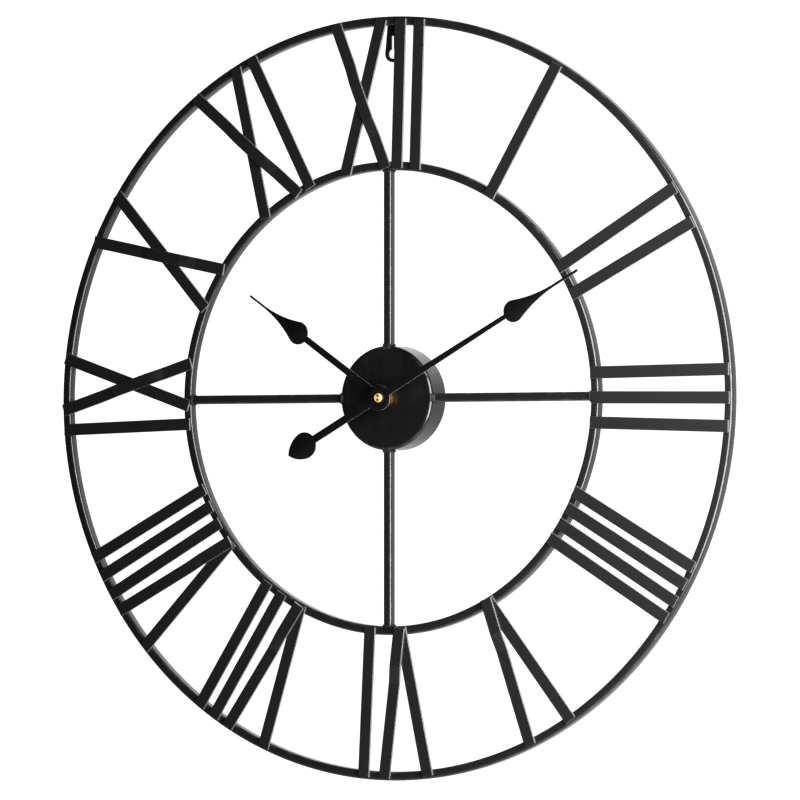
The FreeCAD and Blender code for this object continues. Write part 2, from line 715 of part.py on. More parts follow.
def rod(radius, at, front, back):
    """Round bar along the depth."""
    return Part.makeCylinder(radius, front - back, Vector(at[0], -front, at[1]), BACKWARD)


def join(pieces):
    """One clean solid from touching pieces."""
    return pieces[0].multiFuse(pieces[1:]).removeSplitter()


def meshing_phase(direction, phase, teeth, partner_teeth):
    """Phase of a partner gear that meshes in a direction with a gear of a known phase."""
    return direction + 180.0 + 180.0 / partner_teeth - (phase - direction) * teeth / partner_teeth


def arbor_rod(at, front=20.5, back=5.5):
    """Arbor between the case halves with a pivot at each end."""
    pivot, shoulder = dim("pivot"), 0.9
    return [rod(pivot, at, front, back),
            rod(dim("thin_arbor"), at, front - shoulder, back + shoulder)]


def build_motion_work():
    """Minute arbor, minute wheel and hour wheel: twelve turns to one."""
    module, hour_module = dim("motion_module"), dim("hour_module")
    axis = (0.0, 0.0)
    keep("cannon_pinion", join([
        rod(dim("cannon_radius"), axis, 35.9, 16.0), gear(12, module, 0.0, axis, 17.6, 16.0),
        rod(1.2, axis, 16.0, 13.9), rod(dim("arbor"), axis, 13.9, 6.4),
        rod(dim("pivot"), axis, 6.4, 5.5),
    ]))
    wheel_phase = meshing_phase(0.0, 0.0, 12, 36)
    keep("minute_wheel", join(arbor_rod(MINUTE_WHEEL_AT) + [
        gear(36, module, wheel_phase, MINUTE_WHEEL_AT, 17.4, 16.2),
        gear(10, hour_module, 180.0, MINUTE_WHEEL_AT, 19.5, 17.4),
    ]))
    hour = join([
        rod(dim("hour_pipe"), axis, 31.2, 18.2),
        gear(40, hour_module, meshing_phase(180.0, 180.0, 10, 40), axis, 19.4, 18.2),
    ])
    keep("hour_wheel", hour.cut(rod(dim("hour_pipe_bore"), axis, 32.0, 18.0)))
    setting_phase = meshing_phase(30.0, wheel_phase, 36, 18)
    keep("setting_knob", join([
        rod(dim("pivot"), SETTING_AT, 20.5, 19.6), rod(dim("arbor"), SETTING_AT, 19.6, 17.4),
        gear(18, module, setting_phase, SETTING_AT, 17.4, 16.2),
        rod(dim("knob_shaft"), SETTING_AT, 16.2, 4.6), rod(dim("knob_radius"), SETTING_AT, 4.6, 1.8),
    ]))


def build_going_train():
    """Rotor, middle wheel, third wheel and the centre wheel that slips on the minute arbor."""
    module = dim("train_module")
    axis = (0.0, 0.0)
    centre = gear(90, module, 120.0, axis, 15.4, 14.6)
    keep("centre_wheel", centre.cut(rod(1.26, axis, 16.0, 14.0)))
    keep("third_wheel", join(arbor_rod(THIRD_AT) + [
        gear(6, module, meshing_phase(120.0, 120.0, 90, 6), THIRD_AT, 15.7, 14.2),
        gear(72, module, 60.0, THIRD_AT, 13.6, 12.8),
    ]))
    keep("middle_wheel", join(arbor_rod(MIDDLE_AT) + [
        gear(6, module, meshing_phase(60.0, 60.0, 72, 6), MIDDLE_AT, 13.9, 12.4),
        gear(60, module, 0.0, MIDDLE_AT, 11.8, 11.0),
    ]))
    keep("rotor", join(arbor_rod(ROTOR_AT) + [
        gear(6, module, meshing_phase(0.0, 0.0, 60, 6), ROTOR_AT, 12.1, 10.7),
        rod(3.0, ROTOR_AT, 10.7, 9.2),
    ]))


def case_half(label, front, back):
    """Square block for one half of the movement's case, with rounded corners."""
    body = new_body(label)
    block = new_sketch(body, "XZ_Plane", back)
    draw_box(block, "-case_half", "case_half", "-case_half", "case_half")
    extrude(body, "Pad", block, front + " - " + back)
    ease(body, "case_corner", lambda e: is_along(e, BACKWARD))
    return body


def carve(body, low, high, start, length, towards_wall):
    """Pocket across the case's inside between two heights."""
    hollow = new_sketch(body, "XZ_Plane", start)
    draw_box(hollow, "-case_half + case_wall", "case_half - case_wall", low, high)
    extrude(body, "Pocket", hollow, length, flip=not towards_wall)


def drill(body, spots, radius, start, length, towards_wall):
    """Round holes at fixed spots of the case."""
    holes = new_sketch(body, "XZ_Plane", start)
    for right, up in spots:
        draw_circle(holes, radius, "%.4f" % right, "%.4f" % up)
    extrude(body, "Pocket", holes, length, flip=not towards_wall)


def build_case():
    """Front half with the threaded neck, rear half with pegs; the battery bay is open behind."""
    wheels = ("-bay_top + bay_rib", "case_half - case_wall")
    bay = ("-case_half + case_wall", "-bay_top")
    pivots = (MINUTE_WHEEL_AT, THIRD_AT, MIDDLE_AT, ROTOR_AT, SETTING_AT)
    front = case_half("case_front", "case_front", "case_split")
    carve(front, wheels[0], wheels[1], "case_split", "case_front - case_wall - case_split", False)
    carve(front, bay[0], bay[1], "case_split", "case_front - bay_floor - case_split", False)
    neck = new_sketch(front, "XZ_Plane", "case_front - 0.4")
    draw_circle(neck, "neck_radius")
    extrude(front, "Pad", neck, "neck_top - case_front + 0.4")
    drill(front, ((0.0, 0.0),), "neck_bore", "neck_top + 1", "neck_top", True)
    drill(front, pivots, "pivot_hole", "case_front - case_wall", "pivot_depth", False)

    rear = case_half("case_rear", "case_split", "case_back")
    carve(rear, wheels[0], wheels[1], "case_split", "case_split - case_back - case_wall", True)
    carve(rear, bay[0], bay[1], "case_split + 1", "case_split", True)
    pegs = new_sketch(rear, "XZ_Plane", "case_back + 0.4")
    for right, up in BOARD_PEGS + STATOR_PEGS:
        draw_circle(pegs, "peg", str(right), str(up))
    extrude(rear, "Pad", pegs, "6")
    drill(rear, pivots[:4] + ((0.0, 0.0),), "pivot_hole", "case_back + case_wall", "pivot_depth",
          True)
    drill(rear, (SETTING_AT,), "knob_shaft + collet_play", "case_split", "case_split", True)


def build_battery():
    """AA cell lying across the bay."""
    body = new_body("battery")
    half = "battery_length/2"
    section = new_sketch(body, "XY_Plane")
    draw_outline(section, (
        ("-" + half, "0"), ("-" + half, "battery_radius"), (half, "battery_radius"),
        (half, "battery_nub"), (half + " + battery_nub_length", "battery_nub"),
        (half + " + battery_nub_length", "0"),
    ))
    turn(body, "Revolution", section, "H_Axis")
    body.Placement = FreeCAD.Placement(
        Vector(dim("battery_shift"), -dim("battery_depth"), -dim("battery_drop")), FreeCAD.Rotation())


def build_contacts():
    """Flat positive contact and bowed negative spring at the ends of the bay."""
    depth = dim("battery_depth")
    for label, sign, bow in (("contact_positive", 1, 0.0), ("contact_negative", -1, 1.7)):
        body = new_body(label)
        edge = dim("case_half") - dim("case_wall")
        thick = dim("contact_thick")
        strip = new_sketch(body, "XY_Plane", "-battery_drop - 4")
        outline = [(edge, depth + 5), (edge, depth - 5), (edge - thick, depth - 5)]
        if bow:
            outline = [(edge, depth + 5), (edge, depth + 4), (edge - bow, depth),
                       (edge, depth - 4), (edge, depth - 5), (edge - thick, depth - 5),
                       (edge - thick, depth - 4.2), (edge - bow - thick, depth),
                       (edge - thick, depth + 4.2)]
        outline.append((edge - thick, depth + 5))
        draw_outline(strip, [("%.3f" % (sign * x), "-%.3f" % d) for x, d in outline])
        extrude(body, "Pad", strip, "8")


def build_coil():
    """Bobbin wound with wire, standing upright at the right of the wheels."""
    body = new_body("coil")
    section = new_sketch(body, "XZ_Plane")
    draw_outline(section, (
        ("coil_bore", "1"), ("coil_flange", "1"), ("coil_flange", "2"), ("coil_radius", "2"),
        ("coil_radius", "20"), ("coil_flange", "20"), ("coil_flange", "21"), ("coil_bore", "21"),
    ))
    turn(body, "Revolution", section)
    spot = Vector(dim("coil_at"), -dim("coil_depth"), 0)
    body.Placement = FreeCAD.Placement(spot, FreeCAD.Rotation())


def build_stator():
    """Flat steel loop round the rotor; its straight side is the coil's core."""
    body = new_body("stator")
    plate = new_sketch(body, "XZ_Plane", "coil_depth - 0.5")
    for outline in (STATOR_OUTSIDE, STATOR_WINDOW):
        draw_outline(plate, [(str(x), str(z)) for x, z in outline])
    extrude(body, "Pad", plate, "1")
    drill(body, (ROTOR_AT,), "3.5", "coil_depth + 1", "3", True)
    drill(body, STATOR_PEGS, "peg + 0.1", "coil_depth + 1", "3", True)


def build_board():
    """Circuit board with its sealed chip and crystal can."""
    body = new_body("circuit_board")
    board = new_sketch(body, "XZ_Plane", "8.5")
    draw_box(board, "-26", "-15", "-9", "24")
    for right, up in BOARD_PEGS:
        draw_circle(board, "peg + 0.1", str(right), str(up))
    extrude(body, "Pad", board, "1")
    chip = new_sketch(body, "XZ_Plane", "9.3")
    draw_circle(chip, "3", "-20.5", "6")
    extrude(body, "Pad", chip, "1.2")
    can = new_sketch(body, "XZ_Plane", "9.3")
    draw_box(can, "-21.5", "-19.5", "11", "17")
    extrude(body, "Pad", can, "1.9")


# ---------------------------------------------------------------- build, check, write

def build_all():
    """Every piece of the clock."""
    build_ring("outer_ring", "ring_outer_radius")
    build_ring("inner_ring", "ring_inner_radius")
    for hour in (12, 3, 6, 9):
        build_spoke("spoke_%d" % hour, 30.0 * (hour % 12))
    build_hub()
    build_hanger()
    build_numerals()
    build_hands()
    build_collet("hour_collet", "hour_pipe", "hour_collet_body", "hour_depth")
    build_collet("minute_collet", "cannon_radius", "minute_collet_body", "minute_depth")
    build_hand_nut()
    build_neck_fittings()
    build_case()
    build_battery()
    build_contacts()
    build_motion_work()
    build_going_train()
    build_coil()
    build_stator()
    build_board()


def check_all():
    """Stop on any object that failed, and on any piece that isn't whole."""
    doc.recompute()
    for item in doc.Objects:
        if "Invalid" in item.State or "Error" in item.State:
            raise RuntimeError("%s is in state %s" % (item.Label, item.State))
    for label, item in parts.items():
        if item.Shape.isNull() or not item.Shape.isValid() or not item.Shape.Solids:
            raise RuntimeError("%s has no valid solid" % label)


def write_all():
    """One STEP file for each piece."""
    os.makedirs("parts", exist_ok=True)
    for label, item in parts.items():
        item.Shape.exportStep(os.path.join("parts", label + ".step"))


fill_sheet()
build_all()
check_all()
write_all()
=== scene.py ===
"""Open metal wall clock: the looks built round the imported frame, in metres and in the frame's axes.

The dial looks along -Y, the twelve is up, and the wall is the plane y = 0.
"""

import logging
import math
import random
from dataclasses import dataclass
from enum import Enum

import bmesh
import bpy
import numpy as np
from mathutils import Matrix, Vector


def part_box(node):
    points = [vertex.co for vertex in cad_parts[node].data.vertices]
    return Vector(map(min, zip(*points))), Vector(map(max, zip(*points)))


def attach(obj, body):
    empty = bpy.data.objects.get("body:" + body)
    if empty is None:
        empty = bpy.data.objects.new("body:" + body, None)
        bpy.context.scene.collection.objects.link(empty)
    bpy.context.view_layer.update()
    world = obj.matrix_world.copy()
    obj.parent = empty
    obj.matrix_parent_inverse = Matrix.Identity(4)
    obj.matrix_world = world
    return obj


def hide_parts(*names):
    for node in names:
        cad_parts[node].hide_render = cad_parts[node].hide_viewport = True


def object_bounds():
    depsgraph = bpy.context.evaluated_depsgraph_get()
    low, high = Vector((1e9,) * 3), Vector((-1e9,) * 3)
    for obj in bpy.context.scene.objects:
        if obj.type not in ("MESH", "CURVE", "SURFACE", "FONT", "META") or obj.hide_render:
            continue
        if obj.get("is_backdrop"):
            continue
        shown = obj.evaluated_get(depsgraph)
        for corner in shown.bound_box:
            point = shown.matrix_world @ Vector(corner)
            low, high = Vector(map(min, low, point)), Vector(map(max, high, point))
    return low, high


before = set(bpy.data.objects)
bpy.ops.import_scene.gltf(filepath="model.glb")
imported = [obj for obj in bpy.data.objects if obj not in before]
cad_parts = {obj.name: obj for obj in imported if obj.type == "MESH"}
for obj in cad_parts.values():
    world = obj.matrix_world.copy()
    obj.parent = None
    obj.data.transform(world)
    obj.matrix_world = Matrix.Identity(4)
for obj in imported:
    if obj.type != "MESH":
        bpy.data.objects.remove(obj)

LOG = logging.getLogger("wall_clock")
MM = 0.001
TUBE_WIDTH = 7.0 * MM
MERGE_SPAN = 0.001 * MM
AXIS = Vector((0.0, 1.0, 0.0))

Colour = tuple[float, float, float]


# ---------------------------------------------------------------- shader maths


class Value:
    """One number socket of a node tree that Python's operators work on."""

    def __init__(self, recipe: "Recipe", socket: bpy.types.NodeSocket) -> None:
        """Keeps the socket and the tree it belongs to."""
        self.recipe = recipe
        self.socket = socket

    def combine(self, operation: str, *others: "Value | float", swapped: bool = False) -> "Value":
        """Adds one Math node.

        Args:
            operation: the Math node's operation.
            others: the other operands.
            swapped: whether this socket is the second operand.

        Returns:
            The node's result.
        """
        operands = [self, *others]
        if swapped:
            operands.reverse()
        inputs = dict(enumerate(operands))
        node = self.recipe.node("ShaderNodeMath", {"operation": operation}, inputs)
        return Value(self.recipe, node.outputs[0])

    def __add__(self, other: "Value | float") -> "Value":
        """self + other"""
        return self.combine("ADD", other)

    def __radd__(self, other: float) -> "Value":
        """other + self"""
        return self.combine("ADD", other, swapped=True)

    def __sub__(self, other: "Value | float") -> "Value":
        """self - other"""
        return self.combine("SUBTRACT", other)

    def __rsub__(self, other: float) -> "Value":
        """other - self"""
        return self.combine("SUBTRACT", other, swapped=True)

    def __mul__(self, other: "Value | float") -> "Value":
        """self * other"""
        return self.combine("MULTIPLY", other)

    def __rmul__(self, other: float) -> "Value":
        """other * self"""
        return self.combine("MULTIPLY", other, swapped=True)

    def root(self) -> "Value":
        """Square root."""
        return self.combine("SQRT")

    def wave(self) -> "Value":
        """Sine of the value."""
        return self.combine("SINE")

    def eased(self, low: float, high: float) -> "Value":
        """Smooth step from 0 at low to 1 at high.

        Args:
            low: where the step starts.
            high: where the step ends.

        Returns:
            The stepped value.
        """
        node = self.recipe.node(
            "ShaderNodeMapRange",
            {"interpolation_type": "SMOOTHSTEP"},
            {"Value": self, "From Min": low, "From Max": high},
        )
        return Value(self.recipe, node.outputs["Result"])


class Recipe:
    """A node tree while it is being laid out."""

    def __init__(self, tree: bpy.types.NodeTree) -> None:
        """Starts from an empty tree."""
        self.tree = tree
        self.tree.nodes.clear()

    def node(
        self, kind: str, settings: dict | None = None, inputs: dict | None = None
    ) -> bpy.types.Node:
        """Adds one node.

        Args:
            kind: the node's type.
            settings: its properties, set first.
            inputs: a value, a Value or a socket for each input's name or number.

        Returns:
            The new node.
        """
        made = self.tree.nodes.new(kind)
        for name, value in (settings or {}).items():
            setattr(made, name, value)
        for name, value in (inputs or {}).items():
            source = value.socket if isinstance(value, Value) else value
            if isinstance(source, bpy.types.NodeSocket):
                self.tree.links.new(source, made.inputs[name])
            else:
                made.inputs[name].default_value = source
        return made

    def place(
        self,
        location: tuple[float, float, float] = (0.0, 0.0, 0.0),
        turn: tuple[float, float, float] = (0.0, 0.0, 0.0),
        stretch: tuple[float, float, float] = (1.0, 1.0, 1.0),
    ) -> bpy.types.NodeSocket:
        """Object coordinates, moved, turned and stretched.

        Args:
            location: shift in metres, after the stretch.
            turn: Euler angles in radians.
            stretch: factor along each axis.

        Returns:
            The vector socket.
        """
        coordinates = self.node("ShaderNodeTexCoord").outputs["Object"]
        mapping = self.node(
            "ShaderNodeMapping",
            {"vector_type": "POINT"},
            {"Vector": coordinates, "Location": location, "Rotation": turn, "Scale": stretch},
        )
        return mapping.outputs["Vector"]

    def parts(self, vector: bpy.types.NodeSocket) -> tuple[Value, Value, Value]:
        """The three numbers of a vector."""
        split = self.node("ShaderNodeSeparateXYZ", inputs={"Vector": vector})
        return tuple(Value(self, output) for output in split.outputs)

    def noise(
        self,
        grain: float,
        vector: bpy.types.NodeSocket | None = None,
        detail: float = 3.0,
        rough: float = 0.5,
    ) -> Value:
        """Cloudy noise.

        Args:
            grain: size of a feature in metres.
            vector: coordinates, or None for plain object coordinates.
            detail: number of finer layers.
            rough: strength of the finer layers.

        Returns:
            The noise, about 0.5.
        """
        made = self.node(
            "ShaderNodeTexNoise",
            inputs={
                "Vector": vector or self.place(),
                "Scale": 1.0 / grain,
                "Detail": detail,
                "Roughness": rough,
            },
        )
        return Value(self, made.outputs["Fac"])

    def cells(self, grain: float) -> Value:
        """Distance to the nearest of scattered points, for pits and specks."""
        made = self.node(
            "ShaderNodeTexVoronoi", inputs={"Vector": self.place(), "Scale": 1.0 / grain}
        )
        return Value(self, made.outputs["Distance"])

    def reach(self, height: float = 0.0) -> Value:
        """Distance from an axis along the dial's, at a height above it."""
        right, _, up = self.parts(self.place(location=(0.0, 0.0, -height)))
        return (right * right + up * up).root()

    def facing(self) -> Value:
        """1 on faces that look along the dial's axis, 0 on faces square to them."""
        along = self.parts(self.node("ShaderNodeNewGeometry").outputs["Normal"])[1]
        return along * along

    def edge_share(self) -> Value:
        """1 on faces halfway between fronts and sides, 0 on flat fronts and sides."""
        facing = self.facing()
        return facing * (1.0 - facing) * 4.0

    def side_share(self) -> Value:
        """1 on faces that look sideways, 0 on fronts and backs."""
        return 1.0 - self.facing().eased(0.10, 0.75)

    def blend(self, share: Value, low: object, high: object) -> bpy.types.NodeSocket:
        """Mixes two colours.

        Args:
            share: 0 gives low and 1 gives high.
            low: a colour or a colour socket.
            high: a colour or a colour socket.

        Returns:
            The mixed colour's socket.
        """
        colours = [(*c, 1.0) if isinstance(c, tuple) else c for c in (low, high)]
        mixed = self.node(
            "ShaderNodeMix", {"data_type": "RGBA"}, {0: share, 6: colours[0], 7: colours[1]}
        )
        return mixed.outputs[2]

    def bump(
        self, height: Value, depth: float, under: bpy.types.NodeSocket | None = None
    ) -> bpy.types.NodeSocket:
        """Raises the surface in its shading.

        Args:
            height: the pattern, from 0 to 1.
            depth: what 1 stands for, in metres.
            under: a coarser bump that this one lies on.

        Returns:
            The normal socket.
        """
        inputs = {"Height": height, "Distance": depth, "Strength": 1.0}
        if under is not None:
            inputs["Normal"] = under
        return self.node("ShaderNodeBump", inputs=inputs).outputs["Normal"]

    def shade(
        self,
        colour: bpy.types.NodeSocket,
        roughness: Value,
        normal: bpy.types.NodeSocket | None,
        others: dict[str, object],
    ) -> None:
        """Ends a material with its shader.

        Args:
            colour: the base colour.
            roughness: the roughness.
            normal: the bumped normal, or None for a plain surface.
            others: values for the shader's other inputs, by their names.
        """
        inputs = {**others, "Base Color": colour, "Roughness": roughness}
        if normal is not None:
            inputs["Normal"] = normal
        shader = self.node("ShaderNodeBsdfPrincipled", inputs=inputs)
        output = self.node("ShaderNodeOutputMaterial")
        self.tree.links.new(shader.outputs["BSDF"], output.inputs["Surface"])


# ---------------------------------------------------------------- finishes


@dataclass(frozen=True)
class Finish:
    """What every finish shares: its name and the material made from it."""

    name: str

    def material(self) -> bpy.types.Material:
        """The finish's material, laid out the first time it is asked for."""
        known = bpy.data.materials.get(self.name)
        if known:
            return known
        made = bpy.data.materials.new(self.name)
        made.use_nodes = True
        self.lay_out(Recipe(made.node_tree))
        return made

    def lay_out(self, recipe: Recipe) -> None:
        """Builds the finish's nodes; each finish has its own."""
        raise NotImplementedError(self.name)


@dataclass(frozen=True)
class PowderCoat(Finish):
    """Baked black powder over steel: fine grain, soft sheen, and thin, rubbed edges that also carry
    painted highlight, with sideways faces painted lighter as a painted reflection.
    """

    colour: Colour = (0.0100, 0.0101, 0.0106)
    # rubbed-edge colour: partly real wear, partly painted highlight
    wear_and_highlight: Colour = (0.045, 0.045, 0.046)
    # side colour: sideways faces painted lighter, a painted reflection
    side: Colour = (0.0112, 0.0113, 0.0118)
    dust: Colour = (0.042, 0.041, 0.039)
    roughness: float = 0.23
    grain: float = 0.5 * MM
    grain_depth: float = 0.011 * MM
    peel: float = 2.6 * MM
    peel_depth: float = 0.03 * MM
    cloud: float = 38 * MM
    speck: float = 7 * MM
    rub: float = 9 * MM

    def lay_out(self, recipe: Recipe) -> None:
        """Grain and orange peel in the bump, cloudy sheen, dust specks, rubbed edges partly painted
        as highlight, and sideways faces painted lighter as a reflection.
        """
        peel = recipe.noise(self.peel, detail=2.0)
        grain = recipe.noise(self.grain, detail=4.0, rough=0.7)
        clouds = recipe.noise(self.cloud, detail=4.0)
        specks = 1.0 - recipe.cells(self.speck).eased(0.035, 0.075)
        worn = recipe.noise(self.rub, detail=5.0, rough=0.65).eased(0.42, 0.70)
        rubbed = recipe.edge_share() * worn
        # painted reflection: sideways faces take the lighter side colour
        body = recipe.blend(recipe.side_share(), self.colour, self.side)
        # rubbed edges: partly real wear, partly painted highlight
        tone = recipe.blend(rubbed * 0.75, body, self.wear_and_highlight)
        colour = recipe.blend(specks * clouds * 0.35, tone, self.dust)
        sheen = self.roughness + (clouds - 0.5) * 0.16 + (grain - 0.5) * 0.14 - rubbed * 0.07
        normal = recipe.bump(grain, self.grain_depth, recipe.bump(peel, self.peel_depth))
        recipe.shade(colour, sheen, normal, {"IOR": 1.5, "Specular IOR Level": 0.5})


@dataclass(frozen=True)
class SpunCoat(PowderCoat):
    """Powder coat over a spun sheet, whose turning marks still show as faint rings and rays."""

    cloud: float = 22 * MM
    rub: float = 6 * MM
    face_dulling: float = 0.17
    ring_pitch: float = 1.7 * MM
    ring_wander: float = 16 * MM
    ring_depth: float = 0.018 * MM
    upright: float = 3.4 * MM
    scuff: float = 13 * MM

    def lay_out(self, recipe: Recipe) -> None:
        """Powder coat with rings about the dial's axis and a ray-like change of sheen."""
        wander = recipe.noise(self.ring_wander) * 5.0
        rings = (recipe.reach() * (math.tau / self.ring_pitch) + wander).wave() * 0.5 + 0.5
        grain = recipe.noise(self.grain, detail=4.0, rough=0.7)
        upright = recipe.noise(self.upright, recipe.place(stretch=(1.0, 1.0, 0.05)), detail=3.0)
        clouds = recipe.noise(self.cloud, detail=4.0)
        scuff_place = recipe.place(stretch=(1.0, 1.0, 0.35))
        worn = recipe.noise(self.scuff, scuff_place, detail=6.0, rough=0.7).eased(0.60, 0.78)
        rubbed = recipe.edge_share() * recipe.noise(self.rub, detail=5.0).eased(0.40, 0.68)
        tone = recipe.blend(worn * 0.22 + rubbed * 0.7, self.colour, self.wear_and_highlight)
        rounded = recipe.edge_share().eased(0.0, 0.3)
        face = (1.0 - recipe.side_share() - rounded).eased(0.0, 1.0)
        sheen = self.roughness + face * self.face_dulling - rubbed * 0.08
        sheen = sheen + (clouds - 0.5) * 0.22 + (upright - 0.5) * 0.16 + worn * 0.07
        coarse = recipe.bump(rings * 0.35 + upright, self.ring_depth)
        normal = recipe.bump(grain, self.grain_depth, coarse)
        recipe.shade(tone, sheen, normal, {"IOR": 1.5, "Specular IOR Level": 0.5})


@dataclass(frozen=True)
class WeldScale(Finish):
    """Coated weld metal: the same black, thicker in the hollows and paler on the ripples."""

    hollow: Colour = (0.008, 0.008, 0.009)
    ripple: Colour = (0.030, 0.029, 0.028)
    roughness: float = 0.46
    blotch: float = 1.8 * MM
    pit: float = 0.9 * MM
    pit_depth: float = 0.12 * MM

    def lay_out(self, recipe: Recipe) -> None:
        """Blotched black with spatter pits."""
        blotch = recipe.noise(self.blotch, detail=5.0, rough=0.7)
        pits = recipe.cells(self.pit).eased(0.05, 0.35)
        recipe.shade(
            recipe.blend(blotch.eased(0.45, 0.75), self.hollow, self.ripple),
            self.roughness + blotch * 0.25,
            recipe.bump(pits + blotch, self.pit_depth),
            {"IOR": 1.5, "Specular IOR Level": 0.22},
        )


@dataclass(frozen=True)
class HandBlack(Finish):
    """Matt black lacquer on rolled sheet, with the roll marks along the hand."""

    along_deg: float = 0.0
    colour: Colour = (0.0026, 0.0026, 0.0030)
    # colour of the blanked edges: partly thinned lacquer, partly painted highlight
    bare_edge_and_highlight: Colour = (0.17, 0.168, 0.162)
    lint: Colour = (0.06, 0.06, 0.058)
    roughness: float = 0.34
    streak: float = 0.7 * MM
    streak_depth: float = 0.010 * MM
    cloud: float = 17 * MM
    speck: float = 9 * MM
    chip: float = 5 * MM

    def lay_out(self, recipe: Recipe) -> None:
        """Long fine streaks, a little lint, and blanked edges painted lighter: partly thinned
        lacquer, partly painted highlight.
        """
        turn = math.radians(self.along_deg)
        streak_place = recipe.place(turn=(0.0, -turn, 0.0), stretch=(1.0, 1.0, 0.03))
        streaks = recipe.noise(self.streak, streak_place, detail=4.0, rough=0.6)
        clouds = recipe.noise(self.cloud, detail=3.0)
        specks = 1.0 - recipe.cells(self.speck).eased(0.025, 0.05)
        # sideways faces painted light: partly thinned lacquer, partly painted highlight
        edge = recipe.side_share() * recipe.noise(self.chip, detail=5.0).eased(0.20, 0.55)
        tone = recipe.blend(edge, self.colour, self.bare_edge_and_highlight)
        recipe.shade(
            recipe.blend(specks * 0.4, tone, self.lint),
            self.roughness + (clouds - 0.5) * 0.14 + (streaks - 0.5) * 0.14 - edge * 0.14,
            recipe.bump(streaks, self.streak_depth),
            {"IOR": 1.5},
        )


@dataclass(frozen=True)
class TurnedMetal(Finish):
    """Metal from the lathe: fine rings about the dial's axis, and handling marks."""

    colour: Colour = (0.86, 0.60, 0.29)
    dull: Colour = (0.50, 0.33, 0.15)
    pitch: float = 0.16 * MM
    ring_depth: float = 0.010 * MM
    tarnish: float = 2.2 * MM
    smear: float = 0.9 * MM
    roughness: float = 0.26
    metallic: float = 1.0

    def lay_out(self, recipe: Recipe) -> None:
        """Rings in the bump, tarnish in the colour and smears in the roughness."""
        rings = (recipe.reach() * (math.tau / self.pitch)).wave() * 0.5 + 0.5
        tarnish = recipe.noise(self.tarnish, detail=5.0, rough=0.65).eased(0.45, 0.80)
        smear = recipe.noise(self.smear, detail=4.0)
        recipe.shade(
            recipe.blend(tarnish * 0.65, self.colour, self.dull),
            self.roughness + tarnish * 0.16 + (smear - 0.5) * 0.12,
            recipe.bump(rings * 0.6 + smear, self.ring_depth),
            {"Metallic": self.metallic},
        )


@dataclass(frozen=True)
class KeyedMetal(TurnedMetal):
    """Turned metal of the cap nut, with painted shade darkening its two key holes."""

    ring_depth: float = 0.008 * MM
    tarnish: float = 1.6 * MM
    rim_from: float = 2.4 * MM
    rim_to: float = 3.5 * MM
    key_at: float = 1.6 * MM
    key_radius: float = 1.5 * MM
    key_core: float = 0.7 * MM
    # painted shade darkening the key holes
    key_hole_shade: Colour = (0.05, 0.032, 0.016)

    def lay_out(self, recipe: Recipe) -> None:
        """Turned rings, tarnish towards the rim, and painted shade in the key holes."""
        reach = recipe.reach()
        rings = (reach * (math.tau / self.pitch)).wave() * 0.5 + 0.5
        tarnish = recipe.noise(self.tarnish, detail=5.0, rough=0.65).eased(0.42, 0.78)
        rim = reach.eased(self.rim_from, self.rim_to)
        # masks round the two key holes, where painted shade is laid
        above, below = (
            recipe.reach(height).eased(self.key_core, self.key_radius)
            for height in (self.key_at, -self.key_at)
        )
        metal = recipe.blend(tarnish * 0.5 + rim * 0.35, self.colour, self.dull)
        recipe.shade(
            recipe.blend(2.0 - above - below, metal, self.key_hole_shade),
            self.roughness + tarnish * 0.14,
            recipe.bump(rings, self.ring_depth),
            {"Metallic": self.metallic},
        )


@dataclass(frozen=True)
class RolledMetal(Finish):
    """Thin sheet or lamination metal with grain one way and light stains."""

    colour: Colour = (0.62, 0.62, 0.60)
    stain: Colour = (0.36, 0.34, 0.31)
    roughness: float = 0.32
    stretch: tuple[float, float, float] = (0.06, 1.0, 1.0)
    grain: float = 0.35 * MM
    grain_depth: float = 0.008 * MM
    blot: float = 4.5 * MM

    def lay_out(self, recipe: Recipe) -> None:
        """Grain along one axis with stains over it."""
        grain = recipe.noise(self.grain, recipe.place(stretch=self.stretch), detail=3.0)
        stains = recipe.noise(self.blot, detail=5.0).eased(0.48, 0.82)
        recipe.shade(
            recipe.blend(stains * 0.7, self.colour, self.stain),
            self.roughness + stains * 0.2 + (grain - 0.5) * 0.18,
            recipe.bump(grain, self.grain_depth),
            {"Metallic": 1.0},
        )


@dataclass(frozen=True)
class MouldedPlastic(Finish):
    """Moulded plastic: spark-eroded grain, a soft sheen and fine scratches from handling."""

    colour: Colour = (0.018, 0.018, 0.019)
    rubbed: Colour = (0.05, 0.05, 0.05)
    roughness: float = 0.48
    grain: float = 0.55 * MM
    grain_depth: float = 0.03 * MM
    flow: float = 11 * MM
    scratch: float = 0.6 * MM

    def lay_out(self, recipe: Recipe) -> None:
        """Pebbled grain, flow clouds and scratches."""
        pebbles = recipe.cells(self.grain).eased(0.05, 0.60)
        flow = recipe.noise(self.flow, detail=4.0)
        scratch_place = recipe.place(turn=(0.3, 0.5, 0.2), stretch=(1.0, 0.05, 0.3))
        scratches = recipe.noise(self.scratch, scratch_place, detail=2.0).eased(0.66, 0.74)
        share = scratches * 0.35 + flow.eased(0.5, 0.9) * 0.3
        recipe.shade(
            recipe.blend(share, self.colour, self.rubbed),
            self.roughness + (flow - 0.5) * 0.16 - scratches * 0.08,
            recipe.bump(pebbles, self.grain_depth),
            {"IOR": 1.48},
        )


